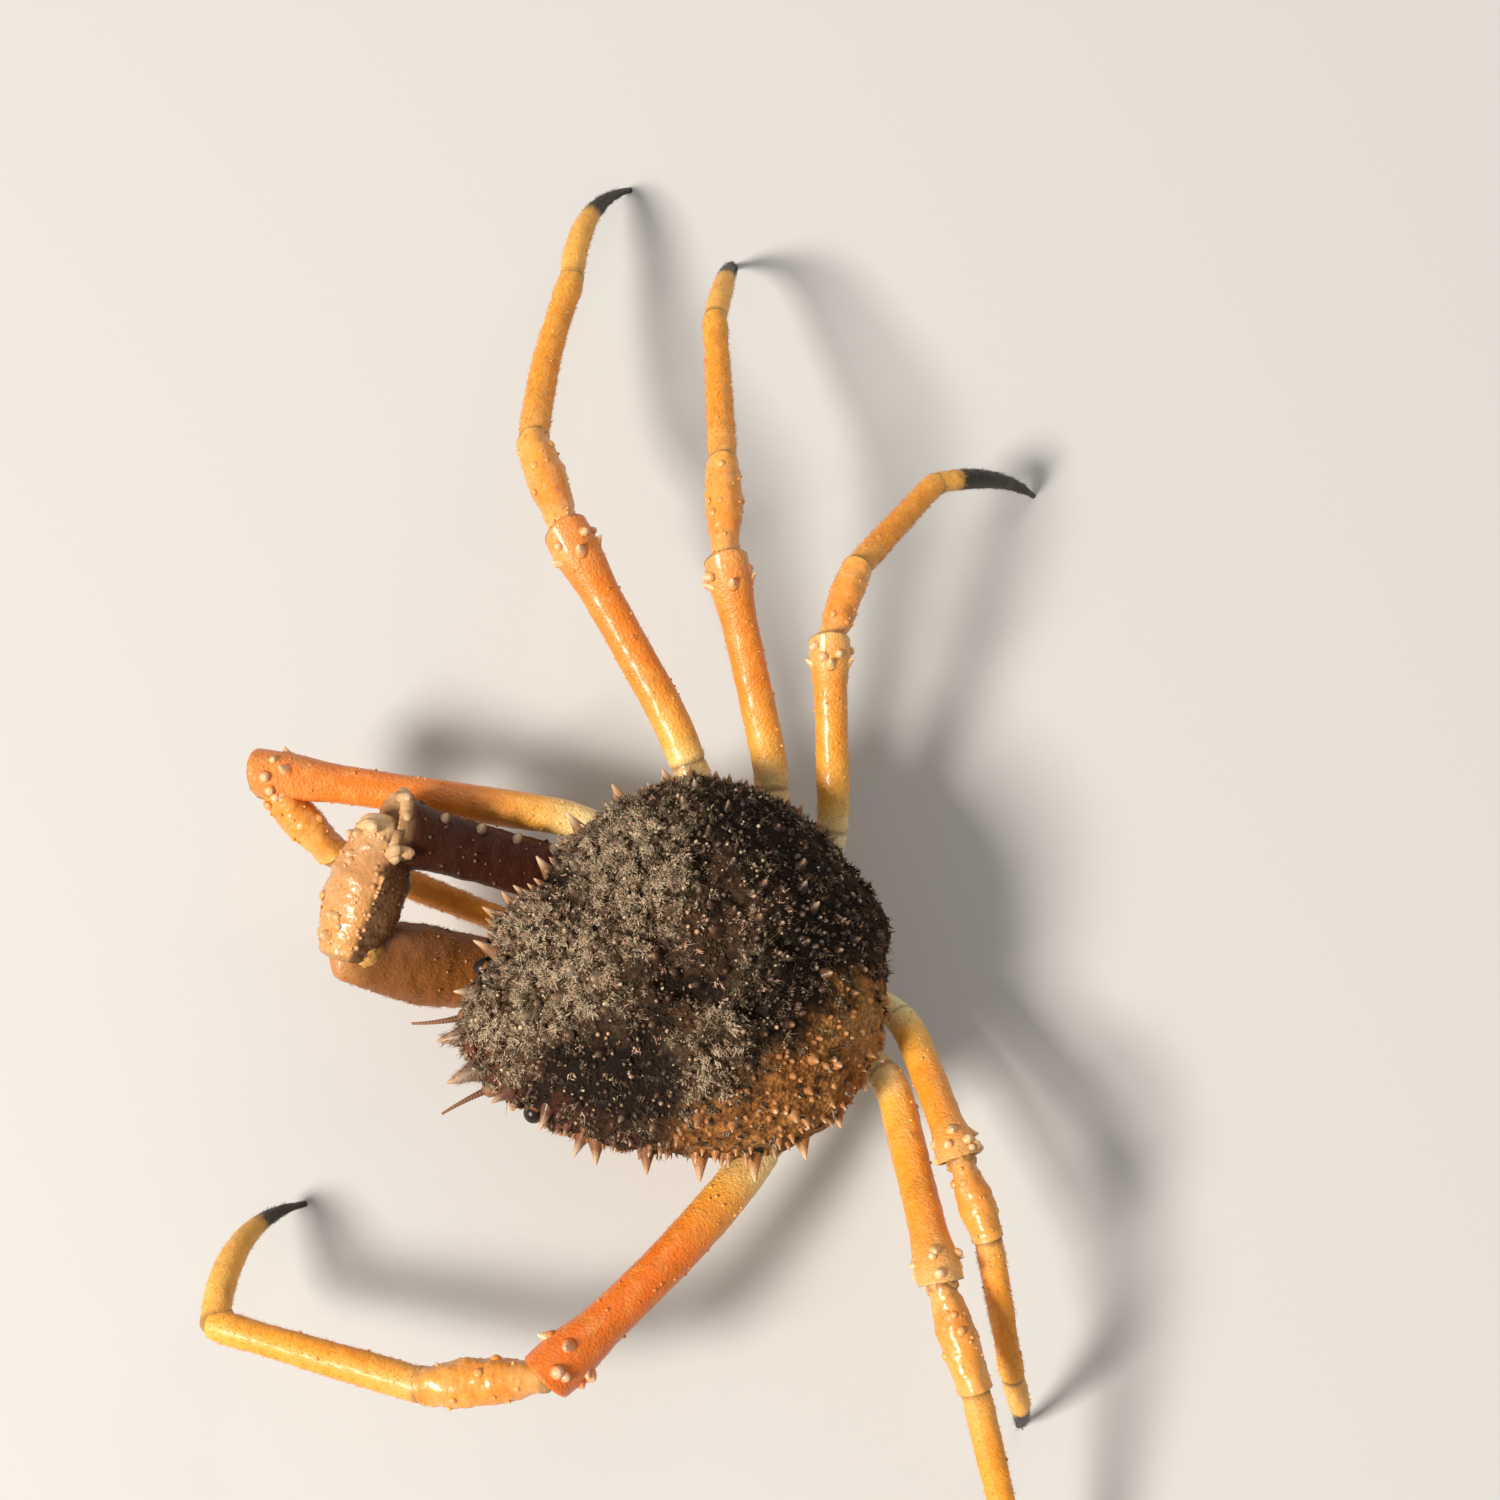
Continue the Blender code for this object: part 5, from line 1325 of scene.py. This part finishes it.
for side, name in ((-1, "right_eye"), (1, "left_eye")):
    bottom, opening = orbit_axis(side)
    eye = spikes(bottom + opening * EYE_START + ZERO, opening, EYE_LENGTH, EYE_RADIUS,
                 EYE_SHAPE, 32)
    over_eye = (eye["points"] - ZERO - bottom) @ unit(UP - opening * opening[2]) / EYE_RADIUS
    eye["glass"] = smoothstep(0.42, 0.47, eye["tip"] - 0.26 * np.clip(over_eye, 0, 1)**2)
    eye_piece = new_object(name + "_ball", [eye], eye_material)
    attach(eye_piece, "root")
    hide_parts(name)


# Feelers: a boss of shell beside each horn carries one thin feeler of many short rings.
# It tapers, and bends a little outward and up.
FEELER_PLACE = (0.0135, -0.0675, 0.0580)
FEELER_WAY = (0.10, -0.99, 0.05)
FEELER_BEND = (0.0015, 0.0, 0.0015)
FEELER_LENGTH = 0.016
FEELER_RADIUS = 0.0013
FEELER_TIP = 0.00045
FEELER_RINGS = 60
BOSS_LENGTH = 0.0062
BOSS_RADIUS = 0.0034
BOSS_BACK = 0.006
BOSS_OUTLINE = ((0.0, 1.0), (0.5, 0.95), (0.85, 0.80), (1.0, 0.45))
feeler_material, tree, shader = new_material("feeler", Roughness=0.45, Specular_IOR_Level=0.4)
tone = tinted(tree, (0.160, 0.058, 0.026), (0.420, 0.220, 0.110), "tip")
tone = tinted(tree, tone, (0.12, 0.04, 0.02), "ring", 0.5)
dress(tree, shader, tone, Scale=2200.0, Height=0.00008)
for side, name in ((-1, "right_antenna"), (1, "left_antenna")):
    root = on_side(FEELER_PLACE, side) + ZERO
    ahead_way = unit(on_side(FEELER_WAY, side))
    rows = [(-0.02, 1.2)]
    for k in range(FEELER_RINGS):
        share_along = k / (FEELER_RINGS - 1)
        width = FEELER_RADIUS + (FEELER_TIP - FEELER_RADIUS) * share_along**0.7
        rows.append((share_along, width / FEELER_RADIUS * (1.0 + 0.10 * math.sin(k * math.pi / 2))))
    feeler = spikes(root, ahead_way, FEELER_LENGTH, FEELER_RADIUS, rows, 10,
                    on_side(FEELER_BEND, side))
    feeler["ring"] = 0.5 + 0.5 * np.sin(feeler["tip"] * (FEELER_RINGS - 1) * math.pi / 2)
    boss = spikes(root - ahead_way * BOSS_BACK, ahead_way, BOSS_LENGTH, BOSS_RADIUS,
                  BOSS_OUTLINE, 14)
    boss["tip"] = boss["tip"] * 0.3
    feeler_piece = new_object(name + "_feeler", [feeler, boss], feeler_material)
    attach(feeler_piece, "root")
    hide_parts(name)


# Face: the hard front under the horns, rough with granules, with the two small inner feelers
# folded before it. Stiff bristles grow between the granules and on the horns.
FACE_FRONT = -0.026
FACE_HEIGHTS = (0.0455, 0.0625)
FACE_GRANULES = 420
FACE_GRANULE_SIZES = (0.0005, 0.0014)
FACE_BRISTLES = 1700
FACE_BRISTLE_LENGTHS = (0.0010, 0.0026)
HORN_BRISTLES = 260
HORN_BRISTLE_LENGTHS = (0.0010, 0.0022)
INNER_PLACE = (0.0040, -0.0668, 0.0572)
rng = np.random.default_rng(61)
face = np.flatnonzero((skin_points[:, 1] < FACE_FRONT) & (skin_points[:, 2] < FACE_HEIGHTS[1])
                      & (skin_points[:, 2] > FACE_HEIGHTS[0]) & (hollow < 0.1))
face_weight = cell_size[face] / cell_size[face].sum()
root = rng.choice(face, FACE_GRANULES, p=face_weight)
size = rng.uniform(*FACE_GRANULE_SIZES, FACE_GRANULES)
face_knobs = spikes(skin_points[root] + ZERO,
                    skin_normals[root] + rng.normal(0, 0.2, (FACE_GRANULES, 3)),
                    size, size * 0.62, KNOB_OUTLINE, 8)
face_knobs["bare"] = 0.9
face_knobs["ruddy"] = 0.5
face_knobs["pale"] = rng.uniform(0.0, 0.7, FACE_GRANULES)[face_knobs["each"]]
face_granules = new_object("face_granules", [face_knobs], spine_material)
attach(face_granules, "root")

root = rng.choice(face, FACE_BRISTLES, p=face_weight)
length = rng.uniform(*FACE_BRISTLE_LENGTHS, FACE_BRISTLES)
face_hairs = spikes(skin_points[root] + ZERO, skin_normals[root] * 0.8 + [0.0, -0.5, -0.2]
                    + rng.normal(0, 0.35, (FACE_BRISTLES, 3)), length, HAIR_RADIUS, HAIR_OUTLINE, 3,
                    rng.normal(0, 0.25, (FACE_BRISTLES, 3)) * length[:, None])
hair_parts = [face_hairs]
hair_places = [np.stack([root // columns / levels, root % columns / columns], -1)]
for side in (-1, 1):
    horn_root, ahead_way = horn_axis(side)
    share_along = rng.uniform(0.0, 0.85, HORN_BRISTLES)
    turn = rng.uniform(0, 2 * math.pi, HORN_BRISTLES)
    sideways = unit(np.cross(ahead_way, UP))
    outward = np.cos(turn)[:, None] * sideways + np.sin(turn)[:, None] * np.cross(sideways, ahead_way)
    reach = HORN_RADIUS * np.interp(share_along, *np.array(SPINE_OUTLINE).T)
    start = (horn_root + ZERO + ahead_way * (HORN_LENGTH * share_along)[:, None]
             + outward * (reach * 0.9)[:, None])
    length = rng.uniform(*HORN_BRISTLE_LENGTHS, HORN_BRISTLES)
    hair_parts.append(spikes(start, outward * 0.8 + ahead_way * 0.8
                             + rng.normal(0, 0.2, (HORN_BRISTLES, 3)), length, HAIR_RADIUS,
                             HAIR_OUTLINE, 3, ahead_way * length[:, None] * 0.4))
    hair_places.append(np.stack([0.02 + 0.1 * share_along, 0.5 + side * 0.02 * turn / math.pi], -1))
bristle_material, tree, shader = new_material("bristles", Roughness=0.6, Specular_IOR_Level=0.3)
dress(tree, shader, tinted(tree, (0.110, 0.062, 0.030), (0.340, 0.235, 0.125), "tip"))
face_bristles = new_coat("face_bristles", hair_parts, hair_places, bristle_material)
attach(face_bristles, "root")

inner_parts = []
for side in (-1, 1):
    base = on_side(INNER_PLACE, side) + ZERO
    elbow = base + on_side((0.0009, -0.0034, -0.0012), side)
    end = elbow + on_side((-0.0004, -0.0010, 0.0024), side)
    for start, stop, radius, shape in (
        (base, elbow, 0.0011, KNOB_OUTLINE),
        (elbow - [0, 0, 0.0004], end, 0.0006, KNOB_OUTLINE),
        (end, end + on_side((0.0008, -0.0016, 0.0012), side), 0.00022, HAIR_OUTLINE),
        (end, end + on_side((-0.0005, -0.0018, 0.0009), side), 0.0002, HAIR_OUTLINE),
    ):
        inner_parts.append(spikes(start, stop - start, np.linalg.norm(stop - start), radius, shape, 10))
inner_feelers = new_object("inner_feelers", inner_parts, feeler_material)
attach(inner_feelers, "root")


# Underside: breastplate with the first joint of each limb, folded tail flap and mouth plates.
# They are thinner, paler shell with soft seams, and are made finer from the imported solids.
SEAM_WIDTH = 0.0007
SEAM_DEPTH = 0.0005
SEAM_CURVE = 2.0
VOXEL = 0.0009
MOUTH_HAIRS = 420
MOUTH_HAIR_LENGTHS = (0.0010, 0.0024)
UNDER_RIPPLE = (0.0002, 200)
under_materials = {}
for piece, low_tone, high_tone in (("sternum", (0.56, 0.40, 0.19), (0.72, 0.56, 0.31)),
                                   ("abdomen", (0.58, 0.43, 0.22), (0.74, 0.60, 0.35)),
                                   ("mouth", (0.42, 0.22, 0.10), (0.62, 0.42, 0.22))):
    made, tree, shader = new_material(piece, Roughness=0.42, Specular_IOR_Level=0.45,
                                      Subsurface_Weight=0.08, Subsurface_Scale=0.002)
    tone = mixed(tree, low_tone, high_tone, blotches(tree, 90.0, 0.35, 0.65))
    freckles = group(tree, spots, Scale=430.0, Share=0.3).outputs["Mask"]
    tone = mixed(tree, tone, (0.46, 0.20, 0.08), scaled(tree, freckles, 0.3))
    tone = tinted(tree, tone, (0.16, 0.08, 0.035), "seam", 0.7)
    dress(tree, shader, tone, Scale=900.0, Height=0.00025)
    under_materials[piece] = made


def vectors_of(mesh, label):
    """Places or normals of a mesh's points."""
    values = np.zeros(len(mesh.vertices) * 3)
    mesh.vertices.foreach_get(label, values)
    return values.reshape(-1, 3)


mouth_parts = []
mouth_places = []
for node, slot, kind, seams in (
    ("sternum", "breastplate", "sternum", (-0.014, 0.001, 0.016, 0.031, 0.046, 0.058)),
    ("abdomen", "tail_flap", "abdomen", (0.012, 0.022, 0.032, 0.042, 0.052, 0.061)),
    ("right_maxilliped", "mouth_plate", "mouth", (-0.041,)),
    ("left_maxilliped", "mouth_plate", "mouth", (-0.041,)),
):
    refined = bpy.data.objects.new(node + "_skin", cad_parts[node].data.copy())
    bpy.context.scene.collection.objects.link(refined)
    voxels = refined.modifiers.new("voxels", "REMESH")
    voxels.mode = "VOXEL"
    voxels.voxel_size = VOXEL
    relax = refined.modifiers.new("relax", "SMOOTH")
    relax.factor = 0.5
    relax.iterations = 12
    shaped = bpy.data.meshes.new_from_object(
        refined.evaluated_get(bpy.context.evaluated_depsgraph_get()))
    refined.modifiers.clear()
    refined.data = shaped
    points = vectors_of(shaped, "co")
    normals = vectors_of(shaped, "normal")
    seam = np.zeros(len(points))
    for back in seams:
        curved = points[:, 1] - ZERO[1] - back - SEAM_CURVE * (points[:, 0] - ZERO[0])**2
        seam = np.maximum(seam, np.exp(-(curved / SEAM_WIDTH)**2))
    if kind == "sternum":
        seam = np.maximum(seam, np.exp(-((points[:, 0] - ZERO[0]) / SEAM_WIDTH)**2))
    if kind == "mouth":
        edges = np.flatnonzero((normals[:, 2] < 0.3) & (np.abs(normals[:, 0]) > 0.35))
        fringe = rng.choice(edges, MOUTH_HAIRS)
        length = rng.uniform(*MOUTH_HAIR_LENGTHS, MOUTH_HAIRS)
        mouth_parts.append(spikes(points[fringe], normals[fringe] * 0.7 + [0.0, -0.4, -0.5]
                                  + rng.normal(0, 0.25, (MOUTH_HAIRS, 3)), length,
                                  HAIR_RADIUS, HAIR_OUTLINE, 3))
        mouth_places.append(top_map(points[fringe] - ZERO))
    ripple = UNDER_RIPPLE[0] * rough(points, UNDER_RIPPLE[1])
    points = points + normals * (ripple - SEAM_DEPTH * seam)[:, None]
    shaped.vertices.foreach_set("co", points.ravel())
    seam_values = shaped.attributes.new("seam", "FLOAT", "POINT")
    seam_values.data.foreach_set("value", seam.astype(np.float32))
    shaped.materials.clear()
    shaped.materials.append(under_materials[kind])
    shaped.shade_smooth()
    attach(refined, "root")
    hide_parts(node)
mouth_bristles = new_coat("mouth_bristles", mouth_parts, mouth_places, bristle_material)
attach(mouth_bristles, "root")
